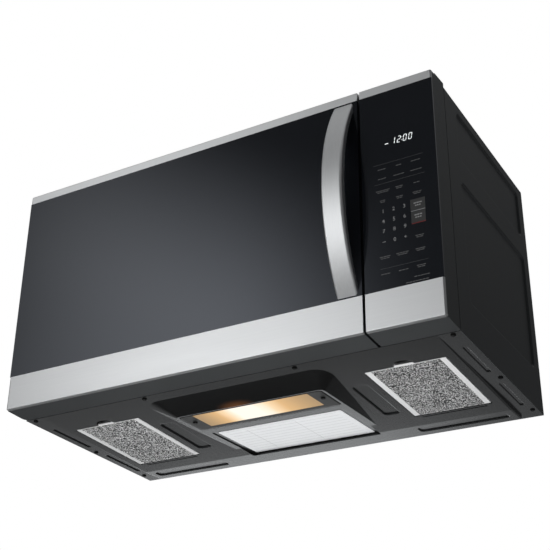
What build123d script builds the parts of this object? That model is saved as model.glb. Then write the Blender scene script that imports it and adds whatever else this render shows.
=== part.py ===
from build123d import *
import os
from math import atan, cos

# Over the range microwave, millimetres, +Z up.
# The wall is the plane y = 0 and the front faces -Y; x = 0 is mid-width.
# z = 0 is level with the lower front edge of the door.

# ---------------------------------------------------------------- driving dimensions
# Body and front
BODY_WIDTH = 759.0
BODY_DEPTH = 398.0
DOOR_FACE_HEIGHT = 397.0
DOOR_DEPTH = 48.0
DOOR_TOP_RISE = 4.6
DOOR_BOTTOM_DROP = 3.2
PANEL_WIDTH = 116.7
DOOR_PANEL_GAP = 4.3
FRONT_LAYER = 3.2
FRONT_EDGE_RADIUS = 2.0
TRIM_CORNER_RADIUS = 2.4
TOP_TRIM_HEIGHT = 14.6
TOP_TRIM_WRAP = 14.0
BOTTOM_TRIM_HEIGHT = 56.5
BOTTOM_TRIM_WRAP = 5.0
MOULDING_WALL = 3.0
DOOR_BACK_WALL = 4.0
PANEL_CUTOUT_SIDE = 9.0
PANEL_CUTOUT_FOOT = 70.0
PANEL_CUTOUT_HEAD = 57.0
PANEL_BOSS_INSET = 18.0
PANEL_BOSS_RADIUS = 5.0

# Outer case, rear panel and base pan
CASE_TOP_DROP = 0.8
CASE_SHEET = 0.8
CASE_DOOR_GAP = 1.5
CASE_CORNER_RADIUS = 2.5
CASE_FOLD_WIDTH = 10.0
REAR_SHEET = 1.2
PAN_SHEET = 1.0
PAN_FRONT_Z = -3.2
FLANGE_REAR_Z = -13.0
PAN_LOW_Z = -17.6
PAN_LEVEL_DEPTH = 60.0
PAN_REAR_GAP = 14.0
FLANGE_WIDTH = 31.5
PAN_LIP_Z = 1.0
PAN_REAR_RIM_Z = 8.0
PAN_EDGE_RADIUS = 3.0
FIT_GAP = 0.3
PICK_BAND = 0.1
SHEET_GAP = 0.1

# Sunk panels in the case sides: distance from the front and the wall, then the two heights
SIDE_PANEL_FRONT = 96.0
SIDE_PANEL_REAR_GAP = 23.0
UPPER_PANEL_Z = (296.0, 379.0)
LOWER_PANEL_Z = (58.0, 256.0)
SIDE_PANEL_SINK = 3.0
SIDE_PANEL_CORNER = 9.0
SIDE_PANEL_EDGE_RADIUS = 3.0
SIDE_PANEL_DRAFT = 40.0

# Grease filters and their wells in the pan
FILTER_WIDTH = 125.5
FILTER_LENGTH = 181.0
FILTER_THICKNESS = 8.0
FILTER_INSET = 81.8
FILTER_REAR_GAP = 99.0
FILTER_ROLL_RADIUS = 2.0
FILTER_SHEET = 1.0
FILTER_CLEARANCE = 1.5
FILTER_CHANNEL = 9.0
FILTER_TAB_WIDTH = 30.0
FILTER_TAB_REACH = 4.5
WELL_LEDGE = 7.0
NOTCH_RADIUS = 16.0
NOTCH_DEPTH = 5.5
LIP_SLOT_WIDTH = 3.0
LIP_SLOT_SPACING = 7.0

# Sunk pads and ribs pressed into the pan
PAD_SINK = 2.2
PAD_EDGE_RADIUS = 1.6
PAD_WALL = 1.5
SIDE_PAD = (24.5, 121.0)
SIDE_PAD_PLACE = (-90.9, 97.8)
REAR_PAD = (149.0, 20.0)
REAR_PAD_SHIFT = -6.7
REAR_PAD_GAP = 40.0
PAD_CORNER = 6.0
RIB_WIDTH = 6.0
RIB_SINK = 1.6
RIB_EDGE_RADIUS = 1.0
RIB_INSET = 15.5
RIB_FRONT = 100.5
RIB_REAR_GAP = 56.5
RIB_BREAK = 47.0

# Lamp console
CONSOLE_INSET = 215.5
CONSOLE_FRONT = 120.0
CONSOLE_REAR_GAP = 50.0
CONSOLE_LOW_Z = -17.5
CONSOLE_REAR_Z = -15.6
CONSOLE_ROOT_Z = -2.5
CONSOLE_SIDE_RUN = 36.0
CONSOLE_FRONT_RUN = 54.0
CONSOLE_REAR_RUN = 14.0
CONSOLE_WALL = 1.1
CONSOLE_CORNER = 9.0
CONSOLE_ROOT_CORNER = 34.0
LAMP_PLATE_MARGIN = 4.0
LAMP_PLATE_DEPTH = 72.0
LAMP_PLATE_FRONT = 2.0
LAMP_PLATE_CORNER = 7.0
LAMP_PLATE_SHEET = 1.2
LAMP_STAND = 3.8
LAMP_TRAY_HEIGHT = 16.0
LAMP_BULB_RADIUS = 9.0
LAMP_BULB_HEIGHT = 7.0
LENS_MARGIN = 25.5
LENS_DEPTH = 56.0
LENS_FRONT = 5.8
LENS_THICKNESS = 2.4
LENS_RIM = 3.0
LABEL_MARGIN = 10.5
LABEL_FRONT_GAP = 18.0
LABEL_REAR_GAP = 1.0
LABEL_CORNER = 3.0
LABEL_FRONT_Z = -15.4
LABEL_REAR_Z = -13.2
LABEL_FLOOR = 2.2
LABEL_WALL = 1.5

# Handle
HANDLE_WIDTH = 33.0
HANDLE_INSET = 39.5
HANDLE_END_GAP = 2.45
HANDLE_REACH = 45.5
HANDLE_THICKNESS = 10.4
HANDLE_FOOT = 16.0
HANDLE_EDGE_RADIUS = 3.6
HANDLE_SCREW_INSET = 11.0
HANDLE_SCREW_BITE = 3.5
HANDLE_SCREW_ACCESS_RADIUS = 6.0

# Oven cavity and turntable
CAVITY_SIDE_GAP = 44.5
CAVITY_DOOR_INSET = 33.5
CAVITY_FLOOR_Z = 42.0
CAVITY_TOP_GAP = 100.0
CAVITY_REAR_GAP = 10.0
CAVITY_SHEET = 0.8
LINER_FOLD = 15.0
CAVITY_CORNER = 12.0
TRAY_RADIUS = 162.0
TRAY_GLASS = 4.0
TRAY_RIM_HEIGHT = 12.0
TRAY_RIM_EDGE = 2.5
TRAY_RIM_RUN = 14.0
ROLLER_RADIUS = 7.0
ROLLER_WIDTH = 5.0
ROLLER_CIRCLE = 106.0
ROLLER_COUNT = 3
ROLLER_RING_RADIUS = 96.0
ROLLER_AXLE_RADIUS = 1.5
RING_SECTION = (5.0, 6.0)
AXLE_OVERHANG = 3.0
RUNNING_CLEARANCE = 0.05
DRIVE_HOLE_ROOM = 3.0
COUPLER_RADIUS = 16.0
COUPLER_HUB_RADIUS = 8.0
COUPLER_LOBE = (6.0, 4.0)
COUPLER_LOBES = 3
COUPLER_TURN = 30.0
TURNTABLE_SHAFT_RADIUS = 4.0
TURNTABLE_MOTOR = (25.0, 15.0)
MOTOR_EAR = (8.0, 10.0)
MOTOR_BASE = 3.0

# Door window and hinges
WINDOW_SIDE_INSETS = (79.5, 68.5)
WINDOW_END_INSETS = (80.0, 62.0)
SCREEN_MARGIN = 9.0
SCREEN_SHEET = 0.8
PANE_THICKNESS = 2.0
CHOKE_COVER = (12.0, 2.0)
HINGE_INSET = 10.0
HINGE_BOSS_WALL = 4.0
HINGE_SLOT_REACH = 9.0
HINGE_PIN_RADIUS = 3.0
HINGE_PIN_LENGTH = 17.0
HINGE_PLATE = 2.5
HINGE_PLATE_INSETS = (11.0, 29.0)
HINGE_SLOT_ROOM = 0.6
HINGE_ARM = 6.5
HINGE_LEAF = (8.0, 1.2)

# Door latch
LATCH_INSET = 12.5
LATCH_BAR = (10.0, 6.0)
LATCH_BAR_END = 12.0
HOOK_END_INSETS = (118.0, 105.0)
HOOK_REACH = 24.0
HOOK_HEIGHT = 9.0
LATCH_TRAVEL = 4.0
SWITCH = (10.0, 16.0, 28.0)
PLUNGER_RADIUS = 1.6
PLUNGER_TRAVEL = 1.2
PLUNGER_REACH = 3.4
LATCH_BOARD_DEPTH = 46.0
LATCH_BOARD_SIDE = 10.0
LATCH_BOARD_END = 28.0
HOOK_ROOM = 2.0
OVEN_LAMP = (24.0, 32.0, 35.0)
OVEN_LAMP_SETBACK = 130.0
OVEN_LAMP_DROP = 12.0

# Ventilation
SHAFT_WALL_GAP = 55.0
SHAFT_DEPTH = 49.2
WHEEL_RADIUS = 38.0
WHEEL_WIDTH = 66.0
WHEEL_BLADES = 24
WHEEL_BAND = 2.0
WHEEL_DISC = 1.6
WHEEL_HUB_RADIUS = 9.0
BLADE = (8.5, 0.9)
WHEEL_RING_WIDTH = 7.65
BLADE_PITCH_ANGLE = 55.0
SCROLL_RADIUS = 46.0
SCROLL_TONGUE = (32.2, 16.1)
SCROLL_WIDTH = 76.0
SCROLL_SHEET = 1.0
SCROLL_FOOT = 40.0
SCROLL_INLET_RADIUS = 30.0
SCROLL_OUTLET_REACH = 51.0
SCROLL_MOTOR_GAP = 14.0
VENT_MOTOR = (36.0, 62.0)
VENT_MOTOR_HUB = (11.0, 6.0)
VENT_SADDLE = 44.0
VENT_SHAFT_RADIUS = 4.0
VENT_SHAFT_END_GAP = 8.0
OUTLET_OPENING = (254.0, 82.5)
REAR_OUTLET_HEIGHT = 74.25
OUTLET_COVER_LAP = 5.0
GRILLE_SETBACK = (50.5, 92.0)
GRILLE_DEPTH = 14.0
GRILLE_INSET = 13.5
GRILLE_WALL = 2.4
GRILLE_SLOTS = 12
GRILLE_ROWS = 3
GRILLE_SLOT_DEPTH = 5.0
GRILLE_ROW_PITCH = 9.0
GRILLE_BAR = 8.0
CHARCOAL_SIZE = (262.0, 12.0, 84.0)
CHARCOAL_SETBACK = 120.0

# Electronics compartment
TRAY_INSET = 23.5
TRAY_FLOOR_Z = 33.0
TRAY_SHEET = 1.0
TRAY_SETBACK = 60.0
TRAY_LIP_HEIGHT = 39.0
TRAY_WALL_HEIGHT = 69.0
MAGNETRON = (80.0, 68.0, 84.0)
MAGNETRON_FINS = 5
MAGNETRON_BODY_RADIUS = 19.0
MAGNETRON_YOKE = 3.0
ANTENNA_RADIUS = 8.0
ANTENNA_GAP = 5.0
MAGNETRON_FIN = 1.2
MAGNETRON_HEAD_GAP = 40.0
WAVEGUIDE = (20.0, 90.0, 150.0)
WAVEGUIDE_SETBACK = 225.0
PORT_WIDTH = 72.0
PORT_Z = (160.0, 195.0)
PORT_FOOT_GAP = 8.0
MICA_LAP = 12.0
MICA_SHEET = 0.6
FAN_INSET = 77.5
FAN_Z = 205.0
FAN_RADIUS = 46.0
FAN_HUB_RADIUS = 10.0
FAN_SPINDLE_RADIUS = 2.0
FAN_SHROUD = (112.0, 26.0)
FAN_WALL_GAP = 8.0
FAN_TIP_GAP = 2.5
FAN_ARM = (3.0, 6.0)
FAN_ARM_ANGLES = (45.0, 135.0)
FAN_MOTOR_RADIUS = 15.0
FAN_PITCH_ANGLE = 32.0
FAN_BLADE = (1.6, 24.0)
FAN_BLADES = 5
POWER_INSET = 89.5
TRANSFORMER = (88.0, 76.0, 72.0)
TRANSFORMER_SETBACK = 130.0
CORE_LEG = 14.0
COIL_SPACING = 6.0
COIL_HEIGHT = 16.0
CAPACITOR = (84.0, 34.0, 52.0)
CAPACITOR_SETBACK = 225.0
CAPACITOR_TAB = (6.0, 8.0, 10.0)
BOARD_Z_INSETS = (70.0, 32.0)
BOARD_SETBACK = 14.0
BOARD_SHEET = 1.6
POST_INSET = 5.0
POST_RADIUS = 3.0
# Count, distance from the board's left edge, size and pitch of the relays, then of the plugs
RELAYS_AND_PLUGS = ((4, 8.0, (22.0, 16.0, 28.0), 34.0), (3, 72.0, (12.0, 10.0, 34.0), 70.0))
DISPLAY = (54.0, 29.0)
DISPLAY_INSET = 33.2
DISPLAY_DROP = 91.0
PANEL_SCREW_RADIUS = 2.0
SCREW_HEAD_RADIUS = 3.9
SCREW_HEAD_HEIGHT = 1.8
SCREW_HEAD_BEVEL = 1.08
SCREW_LENGTH = 9.0
FRONT_SCREW_INSET = 14.1
INNER_SCREW_X = (-146.6, 120.4)
FRONT_SCREW_SETBACK = 57.0
SIDE_SCREW_INSET = 8.1
SIDE_SCREW_AFTER_RIB = 26.5
SIDE_SCREW_REAR_GAP = 31.0

# Mounting
BOLT_SPACING = 558.8
BOLT_SETBACK = 150.0
BOLT_HOLE_RADIUS = 3.4
HOOK_SLOT_SPACING = 460.0
HOOK_SLOT_Z = 24.0
HOOK_SLOT = (60.0, 8.0)
REAR_SWAGE = (150.0, 10.0)
REAR_SWAGE_X = 245.0
REAR_SWAGE_Z = (62.0, 96.0, 130.0)
CORD_HOLE_RADIUS = 12.0
CORD_BUSHING_BORE = 8.0
CORD_BUSHING_RIM = (3.0, 2.0)
CORD_BUSHING_LENGTH = 7.8
CORD_INSET = 79.5
CORD_WALL_GAP = 58.0

# ---------------------------------------------------------------- places worked out from them
HALF_WIDTH = BODY_WIDTH / 2
FRONT_Y = -BODY_DEPTH
DOOR_REAR_Y = FRONT_Y + DOOR_DEPTH
CASE_FRONT_Y = DOOR_REAR_Y + CASE_DOOR_GAP
DOOR_LEFT = -HALF_WIDTH
PANEL_RIGHT = HALF_WIDTH
PANEL_LEFT = PANEL_RIGHT - PANEL_WIDTH
DOOR_RIGHT = PANEL_LEFT - DOOR_PANEL_GAP
GLASS_Z = (BOTTOM_TRIM_HEIGHT, DOOR_FACE_HEIGHT - TOP_TRIM_HEIGHT)
PANEL_CUTOUT_Z = (PANEL_CUTOUT_FOOT, DOOR_FACE_HEIGHT - PANEL_CUTOUT_HEAD)
HINGE_PLATE_Z = (HINGE_PLATE_INSETS[0], DOOR_FACE_HEIGHT - HINGE_PLATE_INSETS[1])
HOOK_Z = (HOOK_END_INSETS[0], DOOR_FACE_HEIGHT - HOOK_END_INSETS[1])
LATCH_X = (DOOR_RIGHT - LATCH_INSET - LATCH_BAR[0], DOOR_RIGHT - LATCH_INSET)
WINDOW_X = (DOOR_LEFT + WINDOW_SIDE_INSETS[0], DOOR_RIGHT - WINDOW_SIDE_INSETS[1])
WINDOW_Z = (WINDOW_END_INSETS[0], DOOR_FACE_HEIGHT - WINDOW_END_INSETS[1])
CASE_TOP_Z = DOOR_FACE_HEIGHT - CASE_TOP_DROP
CASE_INNER_X = HALF_WIDTH - CASE_SHEET
REAR_INNER_Y = -REAR_SHEET
LINER_FRONT_Y = CASE_FRONT_Y + PAN_SHEET
CAVITY_FRONT_Y = LINER_FRONT_Y + CAVITY_SHEET
CAVITY_REAR_Y = -CAVITY_REAR_GAP
CAVITY_X = (CAVITY_SIDE_GAP - HALF_WIDTH, DOOR_RIGHT - CAVITY_DOOR_INSET)
CAVITY_Z = (CAVITY_FLOOR_Z, DOOR_FACE_HEIGHT - CAVITY_TOP_GAP)
CAVITY_CENTRE_X = sum(CAVITY_X) / 2
CAVITY_CENTRE_Y = (CASE_FRONT_Y + CAVITY_REAR_Y) / 2
CAVITY_ROOF_Z = CAVITY_Z[1] + CAVITY_SHEET
CAVITY_WALL_X = CAVITY_X[1] + CAVITY_SHEET
HANDLE_LEFT_X = DOOR_RIGHT - HANDLE_INSET
HANDLE_MID_Z = sum(GLASS_Z) / 2
HANDLE_SPAN = GLASS_Z[1] - GLASS_Z[0] - 2 * HANDLE_END_GAP
HANDLE_INNER_SPAN = HANDLE_SPAN - 2 * HANDLE_FOOT
FLANGE_LOW_Z = PAN_FRONT_Z + PAN_SHEET + SHEET_GAP
FLANGE_HIGH_Z = CASE_TOP_Z - GRILLE_DEPTH - FIT_GAP
TRAY_Z = CAVITY_Z[0] + 2 * (ROLLER_RADIUS + FIT_GAP)
SHAFT_Y = -SHAFT_WALL_GAP
SHAFT_Z = CASE_TOP_Z - SHAFT_DEPTH
GRILLE_HALF_WIDTH = HALF_WIDTH - GRILLE_INSET
FAN_CENTRE = (HALF_WIDTH - FAN_INSET, FAN_Z)
CORD_PLACE = (HALF_WIDTH - CORD_INSET, -CORD_WALL_GAP)

# Setbacks are measured rearward from the door face.
PAN_HALF_WIDTH = HALF_WIDTH - FLANGE_WIDTH
PAN_SLOPE_END = BODY_DEPTH - PAN_LEVEL_DEPTH
PAN_REAR_SETBACK = BODY_DEPTH - PAN_REAR_GAP
FILTER_CENTRE_X = PAN_HALF_WIDTH - FILTER_INSET
FILTER_FRONT_SETBACK = BODY_DEPTH - FILTER_REAR_GAP - FILTER_LENGTH
FILTER_REAR_SETBACK = FILTER_FRONT_SETBACK + FILTER_LENGTH
CONSOLE_REAR = BODY_DEPTH - CONSOLE_REAR_GAP
CONSOLE_HALF_WIDTH = PAN_HALF_WIDTH - CONSOLE_INSET
LAMP_PLATE = (2 * (CONSOLE_HALF_WIDTH - LAMP_PLATE_MARGIN), LAMP_PLATE_DEPTH)
LAMP_PLATE_CENTRE = CONSOLE_FRONT + LAMP_PLATE_FRONT + LAMP_PLATE_DEPTH / 2
LENS = (LAMP_PLATE[0] - 2 * LENS_MARGIN, LENS_DEPTH)
LENS_CENTRE = CONSOLE_FRONT + LENS_FRONT + LENS_DEPTH / 2
LABEL_FRONT = LAMP_PLATE_CENTRE + LAMP_PLATE_DEPTH / 2 + LABEL_FRONT_GAP
LABEL_RECESS = (2 * (CONSOLE_HALF_WIDTH - LABEL_MARGIN), CONSOLE_REAR - LABEL_REAR_GAP - LABEL_FRONT)
LABEL_CENTRE = LABEL_FRONT + LABEL_RECESS[1] / 2
RIB_LENGTH = (BODY_DEPTH - RIB_FRONT - RIB_BREAK - RIB_REAR_GAP) / 2
RIB_SETBACKS = (RIB_FRONT + RIB_LENGTH / 2, BODY_DEPTH - RIB_REAR_GAP - RIB_LENGTH / 2)
SIDE_SCREW_SETBACKS = (RIB_FRONT + RIB_LENGTH + SIDE_SCREW_AFTER_RIB, BODY_DEPTH - SIDE_SCREW_REAR_GAP)

# The pan falls towards the wall as far as PAN_SLOPE_END, the side flanges all the way.
PAN_SLOPE = (PAN_FRONT_Z - PAN_LOW_Z) / (FRONT_Y + PAN_SLOPE_END - CASE_FRONT_Y)
FLANGE_SLOPE = (PAN_FRONT_Z - FLANGE_REAR_Z) / -CASE_FRONT_Y


def sloping_plane(z, slope, y=CASE_FRONT_Y):
    """Work plane through (0, y, z) whose own y runs rearward and down by slope."""
    return Plane(origin=(0, y, z), x_dir=(1, 0, 0), z_dir=(0, slope, 1))


PAN_PLANE = sloping_plane(PAN_FRONT_Z, PAN_SLOPE)
FLANGE_PLANE = sloping_plane(PAN_FRONT_Z, FLANGE_SLOPE)
CONSOLE_SLOPE = (CONSOLE_LOW_Z - CONSOLE_REAR_Z) / (CONSOLE_REAR - CONSOLE_FRONT)
CONSOLE_PLANE = sloping_plane(CONSOLE_LOW_Z, CONSOLE_SLOPE, FRONT_Y + CONSOLE_FRONT)
LABEL_SLOPE = (LABEL_FRONT_Z - LABEL_REAR_Z) / LABEL_RECESS[1]
LABEL_PLANE = sloping_plane(LABEL_FRONT_Z, LABEL_SLOPE, FRONT_Y + LABEL_FRONT)


def flange_z(setback):
    """Height of the side flanges' lower face at a setback from the door face."""
    return PAN_FRONT_Z - FLANGE_SLOPE * (FRONT_Y + setback - CASE_FRONT_Y)


def block(x, y, z):
    """Box between pairs of limits."""
    size = (x[1] - x[0], y[1] - y[0], z[1] - z[0])
    return Pos((x[0] + x[1]) / 2, (y[0] + y[1]) / 2, (z[0] + z[1]) / 2) * Box(*size)


def side_prism(face, x):
    """A side outline, drawn as (y, z), run across between two x limits."""
    return extrude(Plane.YZ.offset(x[0]) * face, amount=x[1] - x[0], dir=(1, 0, 0))


def outline(*points):
    return make_face(Polyline(*points, close=True))


def upright(x, y, radius, z):
    """Round bar or hole tool standing along Z."""
    height = z[1] - z[0]
    return Pos(x, y, z[0]) * Cylinder(radius, height, align=(Align.CENTER, Align.CENTER, Align.MIN))


def crosswise(x, y, z, radius):
    """Round bar or hole tool lying along X between two x limits."""
    turned = Rot(0, 90, 0) * Cylinder(radius, x[1] - x[0], align=(Align.CENTER, Align.CENTER, Align.MIN))
    return Pos(x[0], y, z) * turned


def lengthwise(x, y, z, radius):
    """Round bar or hole tool lying along Y between two y limits."""
    turned = Rot(-90, 0, 0) * Cylinder(radius, y[1] - y[0], align=(Align.CENTER, Align.CENTER, Align.MIN))
    return Pos(x, y[0], z) * turned


# ---------------------------------------------------------------- door and control panel fronts
def front_outline(inset):
    """Side outline of the door and the panel, drawn in from the skin by inset."""
    face = outline(
        (FRONT_Y, 0),
        (FRONT_Y, DOOR_FACE_HEIGHT),
        (DOOR_REAR_Y, DOOR_FACE_HEIGHT + DOOR_TOP_RISE),
        (DOOR_REAR_Y, -DOOR_BOTTOM_DROP),
    )
    face = fillet(face.vertices().sort_by(Axis.X)[:2], FRONT_EDGE_RADIUS)
    return offset(face, -inset, kind=Kind.INTERSECTION) if inset else face


def front_trim(x, z, wrap, outer_ends):
    """Stainless strip that caps the front edge and is rounded at its outer end."""
    skin = side_prism(front_outline(0), x) - side_prism(front_outline(FRONT_LAYER), x)
    strip = skin & block(x, (FRONT_Y - 1, FRONT_Y + wrap), z)
    for x_end in outer_ends:
        upright_edges = strip.edges().filter_by(Axis.Z)
        in_front = upright_edges.filter_by_position(Axis.Y, FRONT_Y - PICK_BAND, FRONT_Y + PICK_BAND)
        outer = in_front.filter_by_position(Axis.X, x_end - PICK_BAND, x_end + PICK_BAND)
        strip = fillet(outer, TRIM_CORNER_RADIUS)
    return strip


def top_trim(x, outer_ends):
    return front_trim(x, (GLASS_Z[1], DOOR_FACE_HEIGHT + DOOR_TOP_RISE), TOP_TRIM_WRAP, outer_ends)


def bottom_trim(x, outer_ends):
    return front_trim(x, (-DOOR_BOTTOM_DROP, GLASS_Z[0]), BOTTOM_TRIM_WRAP, outer_ends)


def front_glass(x):
    return block(x, (FRONT_Y, FRONT_Y + FRONT_LAYER), GLASS_Z)


def front_moulding(x):
    """Moulded body behind the glass and the strips, open to the front."""
    body = side_prism(front_outline(0), x)
    body -= front_trim(x, (GLASS_Z[1], DOOR_FACE_HEIGHT + DOOR_TOP_RISE), TOP_TRIM_WRAP, ())
    body -= front_trim(x, (-DOOR_BOTTOM_DROP, GLASS_Z[0]), BOTTOM_TRIM_WRAP, ())
    body -= front_glass(x)
    hollow_x = (x[0] + MOULDING_WALL, x[1] - MOULDING_WALL)
    hollow_z = (FRONT_LAYER + MOULDING_WALL, DOOR_FACE_HEIGHT - FRONT_LAYER - MOULDING_WALL)
    return body - block(hollow_x, (FRONT_Y, DOOR_REAR_Y - DOOR_BACK_WALL), hollow_z)


def window_opening(margin, y):
    x = (WINDOW_X[0] - margin, WINDOW_X[1] + margin)
    z = (WINDOW_Z[0] - margin, WINDOW_Z[1] + margin)
    opening = block(x, y, z)
    return fillet(opening.edges().filter_by(Axis.Y), CAVITY_CORNER)


def hinge_axis():
    return DOOR_LEFT + HINGE_INSET, DOOR_REAR_Y - HINGE_INSET


def hinge_pin_span(index):
    """Each pin runs from its bracket into the door, the lower one up and the upper one down."""
    z = HINGE_PLATE_Z[index]
    return (z, z + HINGE_PIN_LENGTH) if index == 0 else (z + HINGE_PLATE - HINGE_PIN_LENGTH, z + HINGE_PLATE)


def door_frame():
    """Door moulding with hinge bosses, bracket slots, window and latch slots."""
    frame = front_moulding((DOOR_LEFT, DOOR_RIGHT))
    axis_x, axis_y = hinge_axis()
    boss = 2 * HINGE_INSET + HINGE_BOSS_WALL
    boss_y = (DOOR_REAR_Y - boss, DOOR_REAR_Y - DOOR_BACK_WALL)
    for index, z in enumerate(HINGE_PLATE_Z):
        reach = HINGE_PIN_LENGTH + 2 * HINGE_PLATE
        boss_z = (MOULDING_WALL, z + reach) if index == 0 else (z - reach, DOOR_FACE_HEIGHT - MOULDING_WALL)
        frame += block((DOOR_LEFT + MOULDING_WALL, DOOR_LEFT + boss), boss_y, boss_z)
    left_edge = (DOOR_LEFT - PICK_BAND, DOOR_LEFT + PICK_BAND)
    rear_left = frame.edges().filter_by(Axis.Z).filter_by_position(Axis.X, *left_edge)
    frame = fillet(rear_left.sort_by(Axis.Y)[-1], HINGE_INSET)
    for index, z in enumerate(HINGE_PLATE_Z):
        slot_z = (z - HINGE_SLOT_ROOM, z + HINGE_PLATE + HINGE_SLOT_ROOM)
        slot_x = (DOOR_LEFT - 1, axis_x + HINGE_SLOT_REACH)
        frame -= block(slot_x, (axis_y - HINGE_SLOT_REACH, DOOR_REAR_Y + 1), slot_z)
        low, high = hinge_pin_span(index)
        bore_z = (low - HINGE_SLOT_ROOM, high + HINGE_SLOT_ROOM)
        frame -= upright(axis_x, axis_y, HINGE_PIN_RADIUS + RUNNING_CLEARANCE, bore_z)
    frame -= window_opening(0, (DOOR_REAR_Y - DOOR_BACK_WALL - 1, DOOR_REAR_Y + 1))
    frame -= choke_recess()
    for z in HOOK_Z:
        slot = (z - FIT_GAP * 2, z + HOOK_HEIGHT + LATCH_TRAVEL + FIT_GAP * 2)
        x = (LATCH_X[0] - FIT_GAP * 2, LATCH_X[1] + FIT_GAP * 2)
        frame -= block(x, (DOOR_REAR_Y - DOOR_BACK_WALL - 1, DOOR_REAR_Y + 1), slot)
    for z in handle_screw_z():
        back_wall = (DOOR_REAR_Y - DOOR_BACK_WALL - 1, DOOR_REAR_Y + 1)
        frame -= lengthwise(handle_mid_x(), back_wall, z, HANDLE_SCREW_ACCESS_RADIUS)
    return frame


def choke_recess():
    """Shallow seat for the choke cover in the door's back."""
    width, sheet = CHOKE_COVER
    return window_opening(width, (DOOR_REAR_Y - sheet, DOOR_REAR_Y + 1))


def door_screen():
    """Perforated shield sheet, held against the inside of the door's back wall."""
    rear = DOOR_REAR_Y - DOOR_BACK_WALL
    sheet = window_opening(SCREEN_MARGIN, (rear - SCREEN_SHEET, rear))
    swage = window_opening(-SCREEN_MARGIN, (rear - 3 * SCREEN_SHEET, rear - SCREEN_SHEET))
    return sheet + swage


def door_inner_pane():
    rear = DOOR_REAR_Y - DOOR_BACK_WALL
    return window_opening(-FIT_GAP, (rear, rear + PANE_THICKNESS - FIT_GAP))


def choke_cover():
    """Plastic frame around the inner window that covers the choke groove."""
    width, sheet = CHOKE_COVER
    cover = window_opening(width - FIT_GAP, (DOOR_REAR_Y - sheet, DOOR_REAR_Y))
    return cover - window_opening(-SCREEN_MARGIN, (DOOR_REAR_Y - sheet - 1, DOOR_REAR_Y + 1))


def handle_mid_x():
    return HANDLE_LEFT_X + HANDLE_WIDTH / 2


def handle_screw_z():
    """Screws enter the thick inner half of each foot."""
    reach = HANDLE_SPAN / 2 - HANDLE_SCREW_INSET
    return (HANDLE_MID_Z - reach, HANDLE_MID_Z + reach)


def handle():
    """Solid bar bowed out from the glass, its edges rounded, its feet flat on the glass."""
    front_half = HANDLE_SPAN / 2
    rear_half = HANDLE_INNER_SPAN / 2
    crown = (FRONT_Y - HANDLE_REACH, HANDLE_MID_Z)
    inner_crown = (FRONT_Y - HANDLE_REACH + HANDLE_THICKNESS, HANDLE_MID_Z)
    front = ThreePointArc((FRONT_Y, HANDLE_MID_Z - front_half), crown, (FRONT_Y, HANDLE_MID_Z + front_half))
    top = Line((FRONT_Y, HANDLE_MID_Z + front_half), (FRONT_Y, HANDLE_MID_Z + rear_half))
    rear_ends = ((FRONT_Y, HANDLE_MID_Z + rear_half), (FRONT_Y, HANDLE_MID_Z - rear_half))
    rear = ThreePointArc(rear_ends[0], inner_crown, rear_ends[1])
    foot = Line((FRONT_Y, HANDLE_MID_Z - rear_half), (FRONT_Y, HANDLE_MID_Z - front_half))
    bar = side_prism(make_face([front, top, rear, foot]), (HANDLE_LEFT_X, HANDLE_LEFT_X + HANDLE_WIDTH))
    long_edges = bar.edges().filter_by(GeomType.CIRCLE).sort_by(SortBy.LENGTH)[-2:]
    bar = fillet(long_edges, HANDLE_EDGE_RADIUS)
    for z in handle_screw_z():
        tapped = (FRONT_Y - HANDLE_SCREW_BITE - FIT_GAP, FRONT_Y + 1)
        bar -= lengthwise(handle_mid_x(), tapped, z, PANEL_SCREW_RADIUS)
    return bar


def handle_screws():
    """Two screws driven from inside the door through the glass into the handle's feet."""
    screws = []
    seat = FRONT_Y + FRONT_LAYER
    for z in handle_screw_z():
        shank = lengthwise(handle_mid_x(), (FRONT_Y - HANDLE_SCREW_BITE, seat), z, PANEL_SCREW_RADIUS)
        head = lengthwise(handle_mid_x(), (seat, seat + SCREW_HEAD_HEIGHT), z, SCREW_HEAD_RADIUS)
        screws.append(shank + head)
    return Compound(screws)


def door_glass():
    glass = front_glass((DOOR_LEFT, DOOR_RIGHT))
    for z in handle_screw_z():
        glass -= lengthwise(handle_mid_x(), (FRONT_Y - 1, FRONT_Y + FRONT_LAYER + 1), z, PANEL_SCREW_RADIUS)
    return glass


def latch_hooks():
    """Sprung bar inside the door's free edge with two hooks that reach into the cabinet."""
    bar_y = (DOOR_REAR_Y - DOOR_BACK_WALL - LATCH_BAR[1], DOOR_REAR_Y - DOOR_BACK_WALL - FIT_GAP)
    bar = block(LATCH_X, bar_y, (HOOK_Z[0] - LATCH_BAR_END, HOOK_Z[1] + HOOK_HEIGHT + LATCH_BAR_END))
    for z in HOOK_Z:
        tip = DOOR_REAR_Y + HOOK_REACH
        nose = outline(
            (bar_y[0], z),
            (bar_y[0], z + HOOK_HEIGHT),
            (tip - HOOK_HEIGHT, z + HOOK_HEIGHT),
            (tip, z + HOOK_HEIGHT / 3),
            (tip - HOOK_HEIGHT / 3, z),
        )
        bar += side_prism(nose, LATCH_X)
    return bar


def hinge_brackets():
    """Steel plates on the cavity flange that carry the two hinge pins."""
    axis_x, axis_y = hinge_axis()
    brackets = []
    for index, z in enumerate(HINGE_PLATE_Z):
        length, sheet = HINGE_LEAF
        leaf_z = (z - length, z + HINGE_PLATE) if index == 0 else (z, z + HINGE_PLATE + length)
        x = (axis_x - HINGE_ARM, axis_x + HINGE_ARM)
        arm = block(x, (axis_y, LINER_FRONT_Y), (z, z + HINGE_PLATE))
        arm += upright(axis_x, axis_y, HINGE_ARM, (z, z + HINGE_PLATE))
        arm += block(x, (LINER_FRONT_Y - sheet, LINER_FRONT_Y), leaf_z)
        brackets.append(arm - upright(axis_x, axis_y, HINGE_PIN_RADIUS, (z - 1, z + HINGE_PLATE + 1)))
    return Compound(brackets)


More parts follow.
